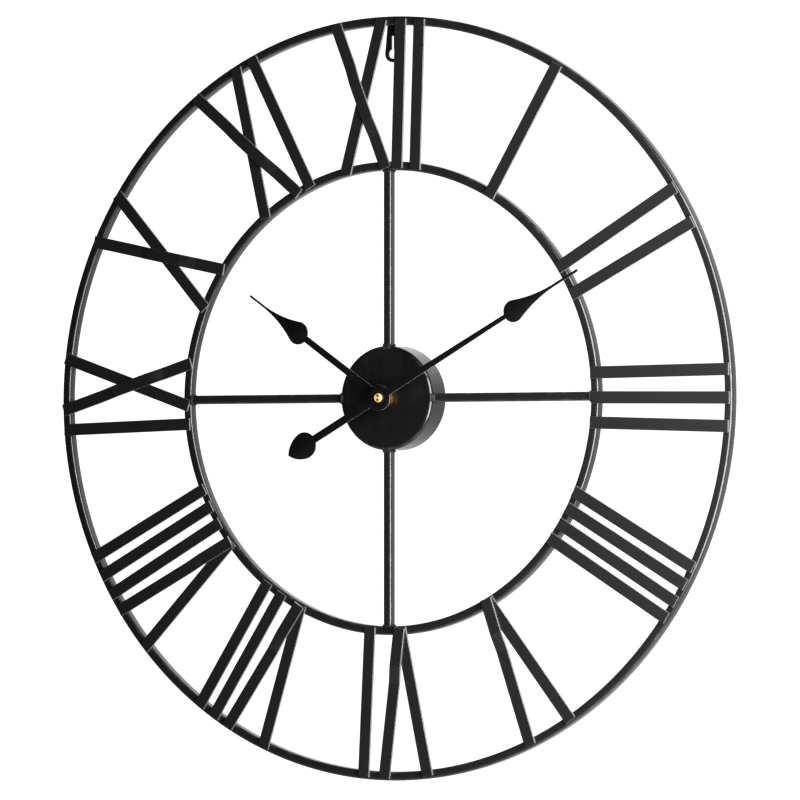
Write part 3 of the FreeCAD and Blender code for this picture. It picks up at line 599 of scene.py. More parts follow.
@dataclass(frozen=True)
class Rubber(Finish):
    """Soft black rubber with talc left in its pores."""

    colour: Colour = (0.012, 0.012, 0.012)
    talc: Colour = (0.09, 0.088, 0.085)
    roughness: float = 0.78
    bloom: float = 2.4 * MM
    pore: float = 0.35 * MM
    pore_depth: float = 0.02 * MM

    def lay_out(self, recipe: Recipe) -> None:
        """Matt black with a chalky bloom."""
        bloom = recipe.noise(self.bloom, detail=5.0, rough=0.7).eased(0.5, 0.85)
        pores = recipe.cells(self.pore).eased(0.1, 0.5)
        recipe.shade(
            recipe.blend(bloom * 0.5, self.colour, self.talc),
            self.roughness + bloom * 0.12,
            recipe.bump(pores, self.pore_depth),
            {"IOR": 1.45},
        )


@dataclass(frozen=True)
class CellWrap(Finish):
    """Shrunk plastic sleeve of a dry cell: a plain body colour with one lighter band."""

    body: Colour = (0.012, 0.040, 0.105)
    band: Colour = (0.60, 0.60, 0.58)
    worn: Colour = (0.30, 0.31, 0.33)
    roughness: float = 0.30
    band_from: float = 11.5 * MM
    band_to: float = 19.0 * MM
    band_edge: float = 0.15 * MM
    wrinkle: float = 1.6 * MM
    wrinkle_depth: float = 0.05 * MM
    wear: float = 3.0 * MM

    def lay_out(self, recipe: Recipe) -> None:
        """Printed band across the cell, wrinkles from shrinking and a glossy film."""
        along, _, _ = recipe.parts(recipe.place())
        begun = along.eased(self.band_from, self.band_from + self.band_edge)
        ended = along.eased(self.band_to, self.band_to + self.band_edge)
        wrinkles = recipe.noise(self.wrinkle, recipe.place(stretch=(0.15, 1.0, 1.0)), detail=3.0)
        wear = recipe.noise(self.wear, detail=6.0, rough=0.7).eased(0.62, 0.80)
        printed = recipe.blend(begun * (1.0 - ended), self.body, self.band)
        recipe.shade(
            recipe.blend(wear * 0.35, printed, self.worn),
            self.roughness + wear * 0.25,
            recipe.bump(wrinkles, self.wrinkle_depth),
            {"IOR": 1.5, "Coat Roughness": 0.18, "Coat Weight": 0.6 - wear * 0.4},
        )


@dataclass(frozen=True)
class Winding(Finish):
    """Enamelled copper wire laid in close turns round an axis along Z."""

    pitch: float = 0.22 * MM
    slip: float = 1.5 * MM
    wire_depth: float = 0.08 * MM
    # painted shade in the grooves between the turns
    groove_shade: Colour = (0.20, 0.065, 0.028)
    copper: Colour = (0.80, 0.36, 0.18)
    roughness: float = 0.42

    def lay_out(self, recipe: Recipe) -> None:
        """One ridge a turn, with painted shade between the turns."""
        _, _, up = recipe.parts(recipe.place())
        slip = recipe.noise(self.slip, detail=2.0) * 0.6
        ridge = (up * (math.tau / self.pitch) + slip).wave() * 0.5 + 0.5
        recipe.shade(
            recipe.blend(ridge, self.groove_shade, self.copper),
            self.roughness - ridge * 0.16,
            recipe.bump(ridge, self.wire_depth),
            {"Metallic": 1.0},
        )


@dataclass(frozen=True)
class Laminate(Finish):
    """Green solder mask over glass cloth, with copper tracks beneath it."""

    mask: Colour = (0.012, 0.075, 0.030)
    copper: Colour = (0.035, 0.20, 0.075)
    flux: Colour = (0.10, 0.09, 0.04)
    roughness: float = 0.30
    cloth: float = 0.5 * MM
    track: float = 2.6 * MM
    track_wander: float = 6 * MM
    track_depth: float = 0.04 * MM
    stain: float = 3.2 * MM

    def lay_out(self, recipe: Recipe) -> None:
        """Wandering tracks under the mask, the weave beneath and flux stains."""
        right, _, up = recipe.parts(recipe.place())
        thread = math.tau / self.cloth
        weave = (right * thread).wave() * (up * thread).wave()
        wander = recipe.noise(self.track_wander) * 3.0
        track = (up * (math.tau / self.track) + wander).wave().eased(0.35, 0.50)
        stain = recipe.noise(self.stain, detail=4.0)
        green = recipe.blend(track * 0.8, self.mask, self.copper)
        recipe.shade(
            recipe.blend(stain.eased(0.55, 0.9) * 0.4, green, self.flux),
            self.roughness + stain * 0.2,
            recipe.bump(track + weave * 0.08, self.track_depth),
            {"IOR": 1.5},
        )


@dataclass(frozen=True)
class StudioPaint(Finish):
    """Matt pale paint of the studio floor, lit through from below."""

    colour: Colour = (0.80, 0.80, 0.80)
    shade: Colour = (0.76, 0.76, 0.76)
    glow: Colour = (0.62, 0.62, 0.62)
    roughness: float = 0.85
    cloud: float = 0.4

    def lay_out(self, recipe: Recipe) -> None:
        """Almost even, with a trace of roller texture."""
        cloud = recipe.noise(self.cloud, detail=2.0)
        recipe.shade(
            recipe.blend(cloud * 0.2, self.colour, self.shade),
            self.roughness + cloud * 0.05,
            None,
            {"Emission Color": (*self.glow, 1.0), "Emission Strength": 1.0},
        )


POWDER = PowderCoat("black_powder_coat")
# the strips' edge and side colours are far lighter than their coat: painted highlight on the edges
# and painted reflection on the sides
STRIP_POWDER = PowderCoat(
    "black_powder_coat_strips",
    colour=(0.0120, 0.0121, 0.0126),
    wear_and_highlight=(0.13, 0.13, 0.13),
    side=(0.11, 0.11, 0.11),
    grain=0.42 * MM,
)
SPUN = SpunCoat(
    "black_powder_coat_spun", colour=(0.0030, 0.0030, 0.0032), wear_and_highlight=(0.030, 0.030, 0.031)
)
SCALE = WeldScale("coated_weld")
# painted shade: the neck nut's brass is darkened to half the cap nut's brass
BRASS = TurnedMetal(
    "turned_brass_painted_shade", colour=(0.40, 0.25, 0.115), dull=(0.25, 0.15, 0.06), roughness=0.36
)
TARNISHED_BRASS = TurnedMetal(
    "tarnished_brass", colour=(0.12, 0.075, 0.035), dull=(0.07, 0.042, 0.018), roughness=0.45
)
BRASS_NUT = KeyedMetal(
    "lacquered_brass",
    colour=(0.80, 0.50, 0.23),
    dull=(0.44, 0.25, 0.09),
    roughness=0.42,
    metallic=0.5,
)
COLLET = TurnedMetal(
    "dark_turned_steel", colour=(0.20, 0.20, 0.20), dull=(0.09, 0.09, 0.09), roughness=0.34
)
CASE_PLASTIC = MouldedPlastic("black_case_plastic")
KNOB_PLASTIC = MouldedPlastic(
    "knob_plastic", colour=(0.62, 0.61, 0.58), rubbed=(0.45, 0.43, 0.40), grain=0.3 * MM
)
WHEEL_PLASTIC = MouldedPlastic(
    "wheel_plastic",
    colour=(0.70, 0.68, 0.60),
    rubbed=(0.55, 0.50, 0.40),
    roughness=0.36,
    grain_depth=0.008 * MM,
)
MARK_PLASTIC = MouldedPlastic(
    "raised_marks", colour=(0.03, 0.03, 0.031), rubbed=(0.12, 0.12, 0.12), roughness=0.4
)
# near-black discs at the vent holes: painted shade
VENT = MouldedPlastic(
    "vent_shade", colour=(0.002, 0.002, 0.002), rubbed=(0.004, 0.004, 0.004), roughness=0.9
)
SPRING = RolledMetal("plated_spring_steel", colour=(0.70, 0.69, 0.66))
CORE = RolledMetal(
    "core_steel", colour=(0.42, 0.42, 0.43), stain=(0.24, 0.20, 0.17), stretch=(1.0, 0.06, 1.0)
)
CAN = RolledMetal("cell_can", colour=(0.74, 0.74, 0.73), stretch=(1.0, 0.1, 0.1))
MAGNET = MouldedPlastic(
    "magnet", colour=(0.028, 0.026, 0.026), rubbed=(0.09, 0.085, 0.08), roughness=0.40
)


# ---------------------------------------------------------------- building and dressing


class Body(Enum):
    """The moving bodies that new pieces ride on."""

    FRAME = "frame"
    MINUTE = "minute"
    HOUR = "hour"
    SETTING = "setting"
    BATTERY = "battery"


def dress(node: str, finish: Finish) -> None:
    """Gives a CAD node its finish.

    Args:
        node: the node's name.
        finish: what it is finished with.
    """
    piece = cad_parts[node]
    piece.data.materials.clear()
    piece.data.materials.append(finish.material())
    LOG.info("dressed %s in %s", node, finish.name)


def middle(node: str) -> Vector:
    """Centre of a CAD node's box."""
    low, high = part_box(node)
    return (low + high) / 2


def link_mesh(shape: bmesh.types.BMesh, name: str, finish: Finish) -> bpy.types.Object:
    """Turns a bmesh into an object of the scene.

    Args:
        shape: the mesh, in place; it is freed.
        name: the object's name.
        finish: what it is finished with.

    Returns:
        The new object.
    """
    mesh = bpy.data.meshes.new(name)
    shape.to_mesh(mesh)
    shape.free()
    mesh.materials.append(finish.material())
    made = bpy.data.objects.new(name, mesh)
    bpy.context.scene.collection.objects.link(made)
    return made


def put(
    shape: bmesh.types.BMesh,
    name: str,
    finish: Finish,
    body: Body,
    smooth_deg: float = 35.0,
) -> bpy.types.Object:
    """Turns a finished bmesh into a piece of the clock.

    Args:
        shape: the mesh, in place; it is freed.
        name: the piece's name.
        finish: what it is finished with.
        body: the body that carries it.
        smooth_deg: edges that turn more than this stay sharp.

    Returns:
        The new object.
    """
    piece = link_mesh(shape, name, finish)
    faces = piece.data.polygons
    faces.foreach_set("use_smooth", [True] * len(faces))
    piece.data.set_sharp_from_angle(angle=math.radians(smooth_deg))
    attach(piece, body.value)
    LOG.info("built %s: %d faces", name, len(faces))
    return piece


def merged_copy(node: str) -> bmesh.types.BMesh:
    """A CAD node's mesh as one clean shell with whole flat faces.

    Args:
        node: the node's name.

    Returns:
        The copy, which the caller shapes.
    """
    shape = bmesh.new()
    shape.from_mesh(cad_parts[node].data)
    bmesh.ops.remove_doubles(shape, verts=shape.verts, dist=0.002 * MM)
    bmesh.ops.dissolve_limit(
        shape, angle_limit=math.radians(0.5), verts=shape.verts, edges=shape.edges, delimit=set()
    )
    return shape


def round_corners(
    shape: bmesh.types.BMesh, verts: list[bmesh.types.BMVert], offset: float, segments: int
) -> None:
    """Rounds the corners of an outline.

    Args:
        shape: the outline's mesh.
        verts: the corners to round.
        offset: how far along each side the round starts.
        segments: how many straight runs make up one round.
    """
    bmesh.ops.bevel(
        shape,
        geom=verts,
        offset=offset,
        segments=segments,
        profile=0.5,
        affect="VERTICES",
        material=-1,
    )


def turn_whole(shape: bmesh.types.BMesh, axis: Vector, steps: int) -> None:
    """Turns an outline once round an axis through the origin.

    Args:
        shape: a mesh that holds the outline alone.
        axis: the direction of the axis.
        steps: how many steps make up the turn.
    """
    bmesh.ops.spin(
        shape,
        geom=list(shape.verts) + list(shape.edges),
        cent=(0.0, 0.0, 0.0),
        axis=axis,
        angle=math.tau,
        steps=steps,
        use_merge=True,
    )
    bmesh.ops.remove_doubles(shape, verts=shape.verts, dist=MERGE_SPAN)
    bmesh.ops.recalc_face_normals(shape, faces=shape.faces)


def raise_faces(
    shape: bmesh.types.BMesh,
    faces: list[bmesh.types.BMFace],
    rise: tuple[float, float, float],
    keep: bool,
) -> None:
    """Pulls flat faces out into a solid.

    Args:
        shape: the faces' mesh.
        faces: the faces.
        rise: how far and which way they are pulled.
        keep: whether the faces stay as the solid's floor.
    """
    raised = bmesh.ops.extrude_face_region(shape, geom=faces, use_keep_orig=keep)["geom"]
    tops = [item for item in raised if isinstance(item, bmesh.types.BMVert)]
    bmesh.ops.translate(shape, verts=tops, vec=rise)


def on_dial(reach: float, clockwise: float, depth: float) -> Vector:
    """A point of the dial.

    Args:
        reach: distance from the dial's axis.
        clockwise: angle from twelve in radians, as the viewer sees it.
        depth: distance in front of the wall.

    Returns:
        The point.
    """
    return Vector((reach * math.sin(clockwise), -depth, reach * math.cos(clockwise)))


# ---------------------------------------------------------------- welded frame


@dataclass
class WeldBeads:
    """Fillet welds that hold strips, spokes and hanger to the tubes."""

    bead_radius: float = 1.15 * MM
    strip_bead: float = 7.4 * MM
    side_bead: float = 1.0 * MM
    lap_bead: float = 1.55 * MM
    hub_gap: float = 0.7 * MM
    ring_gap: float = 0.4 * MM
    front_sink: float = 0.3 * MM
    back_sink: float = 0.5 * MM
    rim_laps: tuple[tuple[float, float], ...] = ((-0.3 * MM, 0.9 * MM), (-1.5 * MM, 1.7 * MM))
    hanger_bead: float = 0.95 * MM
    hanger_run: float = 4.4 * MM
    hanger_start: float = 0.6 * MM
    ripple: float = 0.16
    ripple_pitch: float = 1.1 * MM
    seed: int = 12

    def __post_init__(self) -> None:
        """Starts the seeded draws."""
        self.draws = random.Random(self.seed)

    def bead(self, shape: bmesh.types.BMesh, start: Vector, end: Vector, radius: float) -> None:
        """Adds one rippled bead with rounded ends.

        Args:
            shape: the mesh it joins.
            start: one end of its centre line.
            end: the other end.
            radius: its radius at its fullest.
        """
        run = end - start
        turn = Vector((0.0, 0.0, 1.0)).rotation_difference(run).to_matrix()
        made = bmesh.ops.create_uvsphere(shape, u_segments=10, v_segments=22, radius=1.0)["verts"]
        phase = self.draws.uniform(0.0, math.tau)
        waves = run.length / self.ripple_pitch
        lean = Vector((self.draws.uniform(-0.2, 0.2), self.draws.uniform(-0.2, 0.2), 0.0))
        lean *= radius
        for vert in made:
            height = max(-1.0, min(1.0, vert.co.z))
            swell = 1.0 + self.ripple * math.sin(phase + waves * math.pi * height)
            swell *= 1.0 + self.draws.uniform(-0.03, 0.03)
            fullness = (1.0 - height**6) ** 0.5
            around = Vector((vert.co.x, vert.co.y, 0.0))
            if around.length > 1e-6:
                around.normalize()
            bow = lean * math.cos(height * math.pi / 2)
            vert.co = around * radius * swell * fullness + bow
            vert.co.z = height * run.length / 2
        bmesh.ops.transform(
            shape, matrix=Matrix.Translation((start + end) / 2) @ turn.to_4x4(), verts=made
        )

    def strip_lines(self, node: str) -> list[tuple[Vector, Vector]]:
        """Centre lines of the strips in a numeral's node.

        Args:
            node: the node's name.

        Returns:
            The inner and outer end of each strip, in the dial's plane.
        """
        shape = merged_copy(node)
        lines = []
        left = set(shape.verts)
        while left:
            island, front = set(), [left.pop()]
            while front:
                vert = front.pop()
                island.add(vert)
                for edge in vert.link_edges:
                    other = edge.other_vert(vert)
                    if other in left:
                        left.discard(other)
                        front.append(other)
            spots = np.array([(v.co.x, v.co.z) for v in island])
            centre = (spots.min(0) + spots.max(0)) / 2
            run = np.linalg.svd(spots - spots.mean(0))[2][0]
            reach = (spots - centre) @ run
            ends = [centre + run * reach.min(), centre + run * reach.max()]
            ends.sort(key=lambda spot: float(np.hypot(*spot)))
            lines.append(tuple(Vector((spot[0], 0.0, spot[1])) for spot in ends))
        shape.free()
        return sorted(lines, key=lambda line: (round(line[0].x, 6), round(line[0].z, 6)))

    def strip_welds(
        self, shape: bmesh.types.BMesh, line: tuple[Vector, Vector], ring: float, depth: float
    ) -> None:
        """Adds the bead under one end of a strip, where it leaves a tube.

        Args:
            shape: the mesh it joins.
            line: the strip's inner and outer end.
            ring: radius of the tube's wall that the strip crosses.
            depth: depth of the strip's back face.
        """
        inner, outer = line
        run = (outer - inner).normalized()
        foot = inner.dot(run)
        spot = inner + run * (math.sqrt(foot**2 - inner.length_squared + ring**2) - foot)
        rim = Vector((spot.z, 0.0, -spot.x)).normalized()
        half = rim * self.strip_bead / 2 * self.draws.uniform(0.85, 1.05)
        spot.y = -depth + 0.25 * self.bead_radius
        self.bead(shape, spot - half, spot + half, self.bead_radius)

    def build(self) -> None:
        """Builds the welds of the rings, the hub and the hanger."""
        inner_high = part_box("inner_ring")[1]
        outer_low, outer_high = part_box("outer_ring")
        ring_front, ring_back = -outer_low.y, -outer_high.y
        strips = [n for n in sorted(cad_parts) if n.startswith("numeral_")]
        for ring_name, wall in (("outer", outer_high.x - TUBE_WIDTH), ("inner", inner_high.x)):
            shape = bmesh.new()
            for node in strips:
                for line in self.strip_lines(node):
                    self.strip_welds(shape, line, wall, ring_front)
            put(shape, f"strip_welds_{ring_name}", SCALE, Body.FRAME, 180.0)
        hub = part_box("hub_drum")[1].x
        ring = inner_high.x - TUBE_WIDTH - self.ring_gap
        shape = bmesh.new()
        for quarter in range(4):
            clockwise = quarter * math.pi / 2
            self.spoke_welds(shape, clockwise, hub + self.hub_gap, self.lap_bead)
            self.rim_welds(shape, clockwise, hub, ring_front)
            self.spoke_welds(shape, clockwise, ring, self.lap_bead * 0.85)
        put(shape, "spoke_welds", SCALE, Body.FRAME, 180.0)
        self.hanger_welds(outer_high.z - TUBE_WIDTH, ring_back)

    def spoke_welds(
        self, shape: bmesh.types.BMesh, clockwise: float, reach: float, lap: float
    ) -> None:
        """Adds the four beads round one end of a spoke.

        Args:
            shape: the mesh they join.
            clockwise: the spoke's angle from twelve.
            reach: distance of the joint from the dial's axis.
            lap: radius of the bead laid over the front.
        """
        low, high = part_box("spoke_12")
        half_width = high.x * 0.88
        front, back = -low.y - self.front_sink, -high.y + self.back_sink
        side = Vector((math.cos(clockwise), 0.0, -math.sin(clockwise)))
        for face in (-1.0, 1.0):
            edge = on_dial(reach, clockwise, front) + side * half_width * face
            self.bead(shape, edge, edge + AXIS * (front - back), self.side_bead)
        for depth, radius in ((front, lap), (back, self.side_bead)):
            spot = on_dial(reach, clockwise, depth)
            half = side * half_width
            self.bead(shape, spot - half, spot + half, radius)

    def rim_welds(
        self, shape: bmesh.types.BMesh, clockwise: float, hub: float, front: float
    ) -> None:
        """Adds the beads that run from a spoke up onto the drum's rounded edge.

        Args:
            shape: the mesh they join.
            clockwise: the spoke's angle from twelve.
            hub: the drum's outside radius.
            front: depth of the spoke's front.
        """
        half = Vector((math.cos(clockwise), 0.0, -math.sin(clockwise))) * TUBE_WIDTH * 0.46
        for inward, rise in self.rim_laps:
            spot = on_dial(hub + inward, clockwise, front + rise)
            self.bead(shape, spot - half, spot + half, self.lap_bead * 0.9)

    def hanger_welds(self, ring_inside: float, ring_back: float) -> None:
        """Builds the two beads that hold the hanger to the back of the outer tube.

        Args:
            ring_inside: inner radius of the outer tube.
            ring_back: depth of the tube's back face.
        """
        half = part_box("hanger")[1].x
        depth, start = -ring_back + self.back_sink, ring_inside + self.hanger_start
        shape = bmesh.new()
        for face in (-1.0, 1.0):
            foot = Vector((face * half * 0.72, depth, start))
            self.bead(shape, foot, foot + Vector((0.0, 0.0, self.hanger_run)), self.hanger_bead)
        put(shape, "hanger_welds", SCALE, Body.FRAME, 180.0)


@dataclass
class Tubes:
    """The rolled tube of both rings and the straight tube of the four spokes."""

    corner: float = 1.8 * MM
    corner_steps: int = 5
    ring_steps: int = 288
    sink: float = 0.5 * MM
    spoke_inset: float = 0.5 * MM
    vent_radius: float = 1.0 * MM
    vent_proud: float = 0.02 * MM

    def rounded_outline(
        self, shape: bmesh.types.BMesh, corners: list[tuple[float, float, float]]
    ) -> None:
        """Lays down a closed four-sided outline with rounded corners.

        Args:
            shape: the mesh it joins, which has to be empty.
            corners: the four sharp corners in order.
        """
        line = [shape.verts.new(corner) for corner in corners]
        for start, end in zip(line, line[1:] + line[:1]):
            shape.edges.new((start, end))
        round_corners(shape, line, self.corner, self.corner_steps)

    def build_ring(self, node: str) -> None:
        """Builds one ring from its node's outside size.

        Args:
            node: the ring's node.
        """
        low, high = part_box(node)
        outside, inside = high.x, high.x - TUBE_WIDTH
        section = [(inside, low.y), (outside, low.y), (outside, high.y), (inside, high.y)]
        shape = bmesh.new()
        self.rounded_outline(shape, [(x, y, 0.0) for x, y in section])
        turn_whole(shape, AXIS, self.ring_steps)
        piece = put(shape, f"{node}_tube", POWDER, Body.FRAME, 40.0)
        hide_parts(node)

    def build_spoke(self, node: str, clockwise: float) -> None:
        """Builds one spoke, its ends sunk into the drum's wall and the inner ring.

        Args:
            node: the spoke's node.
            clockwise: the spoke's angle from twelve.
        """
        ring_low, ring_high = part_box("inner_ring")
        front, back = ring_low.y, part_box("spoke_12")[1].y - self.spoke_inset
        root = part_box("hub_drum")[1].x - self.sink
        end = ring_high.x - TUBE_WIDTH + self.sink
        half = TUBE_WIDTH / 2
        section = [(-half, front), (half, front), (half, back), (-half, back)]
        shape = bmesh.new()
        self.rounded_outline(shape, [(x, y, root) for x, y in section])
        foot = bmesh.ops.contextual_create(shape, geom=list(shape.edges))["faces"]
        raise_faces(shape, foot, (0.0, 0.0, end - root), keep=True)
        bmesh.ops.recalc_face_normals(shape, faces=shape.faces)
        turn = Matrix.Rotation(clockwise, 3, "Y")
        bmesh.ops.rotate(shape, verts=shape.verts, cent=(0.0, 0.0, 0.0), matrix=turn)
        piece = put(shape, f"{node}_tube", POWDER, Body.FRAME, 40.0)
        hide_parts(node)

    def build_vents(self, nodes: tuple[str, ...]) -> None:
        """Builds near-black discs at the vent holes at the back of the rings: painted shade for the
        holes' insides.

        Args:
            nodes: the rings' nodes.
        """
        shape = bmesh.new()
        for node in nodes:
            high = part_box(node)[1]
            lay = Matrix.Rotation(math.pi / 2, 4, "X")
            place = Vector((0.0, high.y, -high.x + TUBE_WIDTH / 2))
            bmesh.ops.create_cone(
                shape,
                cap_ends=True,
                segments=24,
                radius1=self.vent_radius,
                radius2=self.vent_radius,
                depth=2 * self.vent_proud,
                matrix=Matrix.Translation(place) @ lay,
            )
        put(shape, "vent_hole_shade_discs", VENT, Body.FRAME)


@dataclass
class WeldedFrame:
    """The rings, spokes, drum, hanger and numeral strips."""

    rings: tuple[str, ...] = ("outer_ring", "inner_ring")
    spokes: tuple[str, ...] = ("spoke_12", "spoke_3", "spoke_6", "spoke_9")
    drum: str = "hub_drum"
    plate: str = "hanger"
    strips: str = "numeral_"

    def build(self) -> None:
        """Dresses the frame's nodes and adds their welds."""
        tubes = Tubes()
        for node in self.rings:
            tubes.build_ring(node)
        for quarter, node in enumerate(self.spokes):
            tubes.build_spoke(node, quarter * math.pi / 2)
        tubes.build_vents(self.rings)
        dress(self.plate, POWDER)
        for node in sorted(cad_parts):
            if node.startswith(self.strips):
                dress(node, STRIP_POWDER)
        dress(self.drum, SPUN)
        WeldBeads().build()


# ---------------------------------------------------------------- hands


@dataclass
class Hand:
    """One sheet hand, its blanked edges slightly rounded."""

    node: str
    body: Body
    along_deg: float
    edge: float = 0.22 * MM
    edge_steps: int = 2
    edge_deg: float = 60.0

    def build(self) -> None:
        """Builds the hand from its node's outline, with eased edges."""
        shape = merged_copy(self.node)
        least = math.radians(self.edge_deg)
        rims = [e for e in shape.edges if e.is_manifold and e.calc_face_angle(0.0) > least]
        bmesh.ops.bevel(
            shape,
            geom=rims,
            offset=self.edge,
            offset_type="OFFSET",
            segments=self.edge_steps,
            profile=0.5,
            affect="EDGES",
            clamp_overlap=True,
            material=-1,
        )
        bmesh.ops.triangulate(shape, faces=[f for f in shape.faces if len(f.verts) > 4])
        finish = HandBlack(f"hand_black_{self.body.value}", along_deg=self.along_deg)
        piece = put(shape, f"{self.node}_sheet", finish, self.body, 50.0)
        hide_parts(self.node)


@dataclass
class HandFittings:
    """Collets, the brass cap nut, and the nut and washer on the movement's neck."""

    collets: tuple[str, str] = ("hour_collet", "minute_collet")
    cap_nut: str = "hand_nut"
    neck_nut: str = "fixing_nut"
    neck_washer: str = "fixing_washer"
    seal: str = "gasket"

    def build(self) -> None:
        """Dresses the fittings."""
        for collet in self.collets:
            dress(collet, COLLET)
        dress(self.cap_nut, BRASS_NUT)
        dress(self.neck_nut, BRASS)
        dress(self.neck_washer, TARNISHED_BRASS)
        dress(self.seal, Rubber("soft_rubber"))


# ---------------------------------------------------------------- movement


@dataclass
class Movement:
    """The battery movement: case, cell, motor, wheels and the setting knob."""

    grip_flutes: int = 28
    grip_proud: float = 0.28 * MM
    grip_wall: float = 0.9 * MM
    grip_depth: float = 2.3 * MM
    grip_rise: float = 0.15 * MM
    grip_edge: float = 0.12 * MM
    sleeve_thick: float = 0.09 * MM
    sleeve_foot: float = 0.9 * MM
    sleeve_head: float = 2.0 * MM
    sleeve_steps: int = 64
    mark_height: float = 0.3 * MM
    mark_root: float = 0.05 * MM
    mark_arm: float = 1.7 * MM
    mark_half: float = 0.36 * MM
    mark_above: float = 3.0 * MM
    mark_inset: float = 4.0 * MM
    arrow_reach: float = 7.6 * MM
    arrow_flare: float = 1.3 * MM
    arrow_steps: int = 14

    def build(self) -> None:
        """Dresses the movement's nodes and adds its sleeve, grip and raised marks."""
        dress("case_front", CASE_PLASTIC)
        dress("case_rear", CASE_PLASTIC)
        dress("battery", CAN)
        dress("contact_positive", SPRING)
        dress("contact_negative", SPRING)
        dress("circuit_board", Laminate("circuit_laminate"))
        dress("coil", Winding("copper_winding"))
        dress("stator", CORE)
        dress("rotor", MAGNET)
        dress("setting_knob", KNOB_PLASTIC)
        dress("cannon_pinion", SPRING)
        for node in ("middle_wheel", "third_wheel", "centre_wheel", "minute_wheel", "hour_wheel"):
            dress(node, WHEEL_PLASTIC)
        self.build_sleeve()
        self.build_grip()
        self.build_marks()

    def build_sleeve(self) -> None:
        """Builds the plastic sleeve shrunk round the cell, rolled in at both ends."""
        low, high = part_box("battery")
        centre = middle("battery")
        radius = (high.z - low.z) / 2
        start, end = low.x + self.sleeve_foot, high.x - self.sleeve_head
        outside = radius + self.sleeve_thick
        roll, lap, shoulder = 0.12 * MM, 0.45 * MM, 0.33 * MM
        inside = radius - 1.5 * MM
        profile = [
            (start - roll, inside),
            (start - roll, outside - lap),
            (start + shoulder, outside),
            (end - shoulder, outside),
            (end + roll, outside - lap),
            (end + roll, inside),
        ]
        shape = bmesh.new()
        line = [shape.verts.new((x, 0.0, r)) for x, r in profile]
        for pair in zip(line, line[1:]):
            shape.edges.new(pair)
        round_corners(shape, line[1:-1], 0.2 * MM, 3)
        turn_whole(shape, Vector((1.0, 0.0, 0.0)), self.sleeve_steps)
        bmesh.ops.translate(shape, verts=shape.verts, vec=(0.0, centre.y, centre.z))
        bmesh.ops.solidify(shape, geom=list(shape.faces), thickness=self.sleeve_thick * 0.8)
        put(shape, "cell_sleeve", CellWrap("cell_sleeve_print"), Body.BATTERY, 40.0)

    def build_grip(self) -> None:
        """Builds the fluted rim that the fingers turn the setting knob by."""
        low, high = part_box("setting_knob")
        centre = middle("setting_knob")
        radius = (high.x - low.x) / 2
        points = self.grip_flutes * 4
        shape = bmesh.new()
        rim = bmesh.ops.create_circle(shape, cap_ends=False, radius=radius, segments=points)
        for vert in rim["verts"]:
            angle = math.atan2(vert.co.y, vert.co.x)
            flute = 0.5 + 0.5 * math.cos(angle * self.grip_flutes)
            vert.co *= (radius + self.grip_proud * flute) / radius
        bore = radius - self.grip_wall
        bmesh.ops.create_circle(shape, cap_ends=False, radius=bore, segments=points)
        bmesh.ops.bridge_loops(shape, edges=list(shape.edges))
        raise_faces(shape, list(shape.faces), (0.0, 0.0, self.grip_depth), keep=False)
        bmesh.ops.recalc_face_normals(shape, faces=shape.faces)
        ends = [e for e in shape.edges if len(e.link_faces) == 2 and e.calc_face_angle(0.0) > 1.2]
        bmesh.ops.bevel(
            shape,
            geom=ends,
            offset=self.grip_edge,
            segments=2,
            profile=0.5,
            affect="EDGES",
            material=-1,
        )
        lay = Matrix.Rotation(-math.pi / 2, 4, "X")
        bmesh.ops.transform(shape, matrix=lay, verts=shape.verts)
        place = Vector((centre.x, high.y - self.grip_depth + self.grip_rise, centre.z))
        bmesh.ops.translate(shape, verts=shape.verts, vec=place)
        put(shape, "knob_grip", KNOB_PLASTIC, Body.SETTING, 40.0)

    def raised_outline(
        self, shape: bmesh.types.BMesh, outline: list[tuple[float, float]], back: float
    ) -> None:
        """Adds one raised mark on the back of the case.

        Args:
            shape: the mesh it joins.
            outline: its corners, as the right of the dial's axis and above it.
            back: the y of the case's back face.
        """
        corners = [shape.verts.new((x, back - self.mark_root, z)) for x, z in outline]
        rise = (0.0, self.mark_height + self.mark_root, 0.0)
        raise_faces(shape, [shape.faces.new(corners)], rise, keep=True)

    def build_marks(self) -> None:
        """Builds the plus, the minus and the arrow round the knob on the back of the case."""
        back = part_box("case_rear")[1].y
        low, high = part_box("battery")
        knob = middle("setting_knob")
        above = high.z + self.mark_above
        right, left = high.x - self.mark_inset, low.x + self.mark_inset
        arm, bar = self.mark_arm, self.mark_half
        shape = bmesh.new()
        plus = [(bar, arm), (bar, bar), (arm, bar), (arm, -bar), (bar, -bar), (bar, -arm)]
        plus += [(-x, -z) for x, z in plus]
        self.raised_outline(shape, [(right + x, above + z) for x, z in plus], back)
        minus = [(-arm, -bar), (arm, -bar), (arm, bar), (-arm, bar)]
        self.raised_outline(shape, [(left + x, above + z) for x, z in minus], back)
        reach, flare, steps = self.arrow_reach, self.arrow_flare, self.arrow_steps
        sweep = [math.radians(200.0 - 80.0 * n / steps) for n in range(steps + 1)]
        tip = sweep[-1]
        spots = [(reach + bar, a) for a in sweep]
        spots += [(reach + flare, tip), (reach, tip - 0.30), (reach - flare, tip)]
        spots += [(reach - bar, a) for a in reversed(sweep)]
        arrow = [(r * math.cos(a), r * math.sin(a)) for r, a in spots]
        self.raised_outline(shape, [(knob.x + x, knob.z + z) for x, z in arrow], back)
        bmesh.ops.recalc_face_normals(shape, faces=shape.faces)
        put(shape, "case_marks", MARK_PLASTIC, Body.FRAME, 30.0)


# ---------------------------------------------------------------- studio


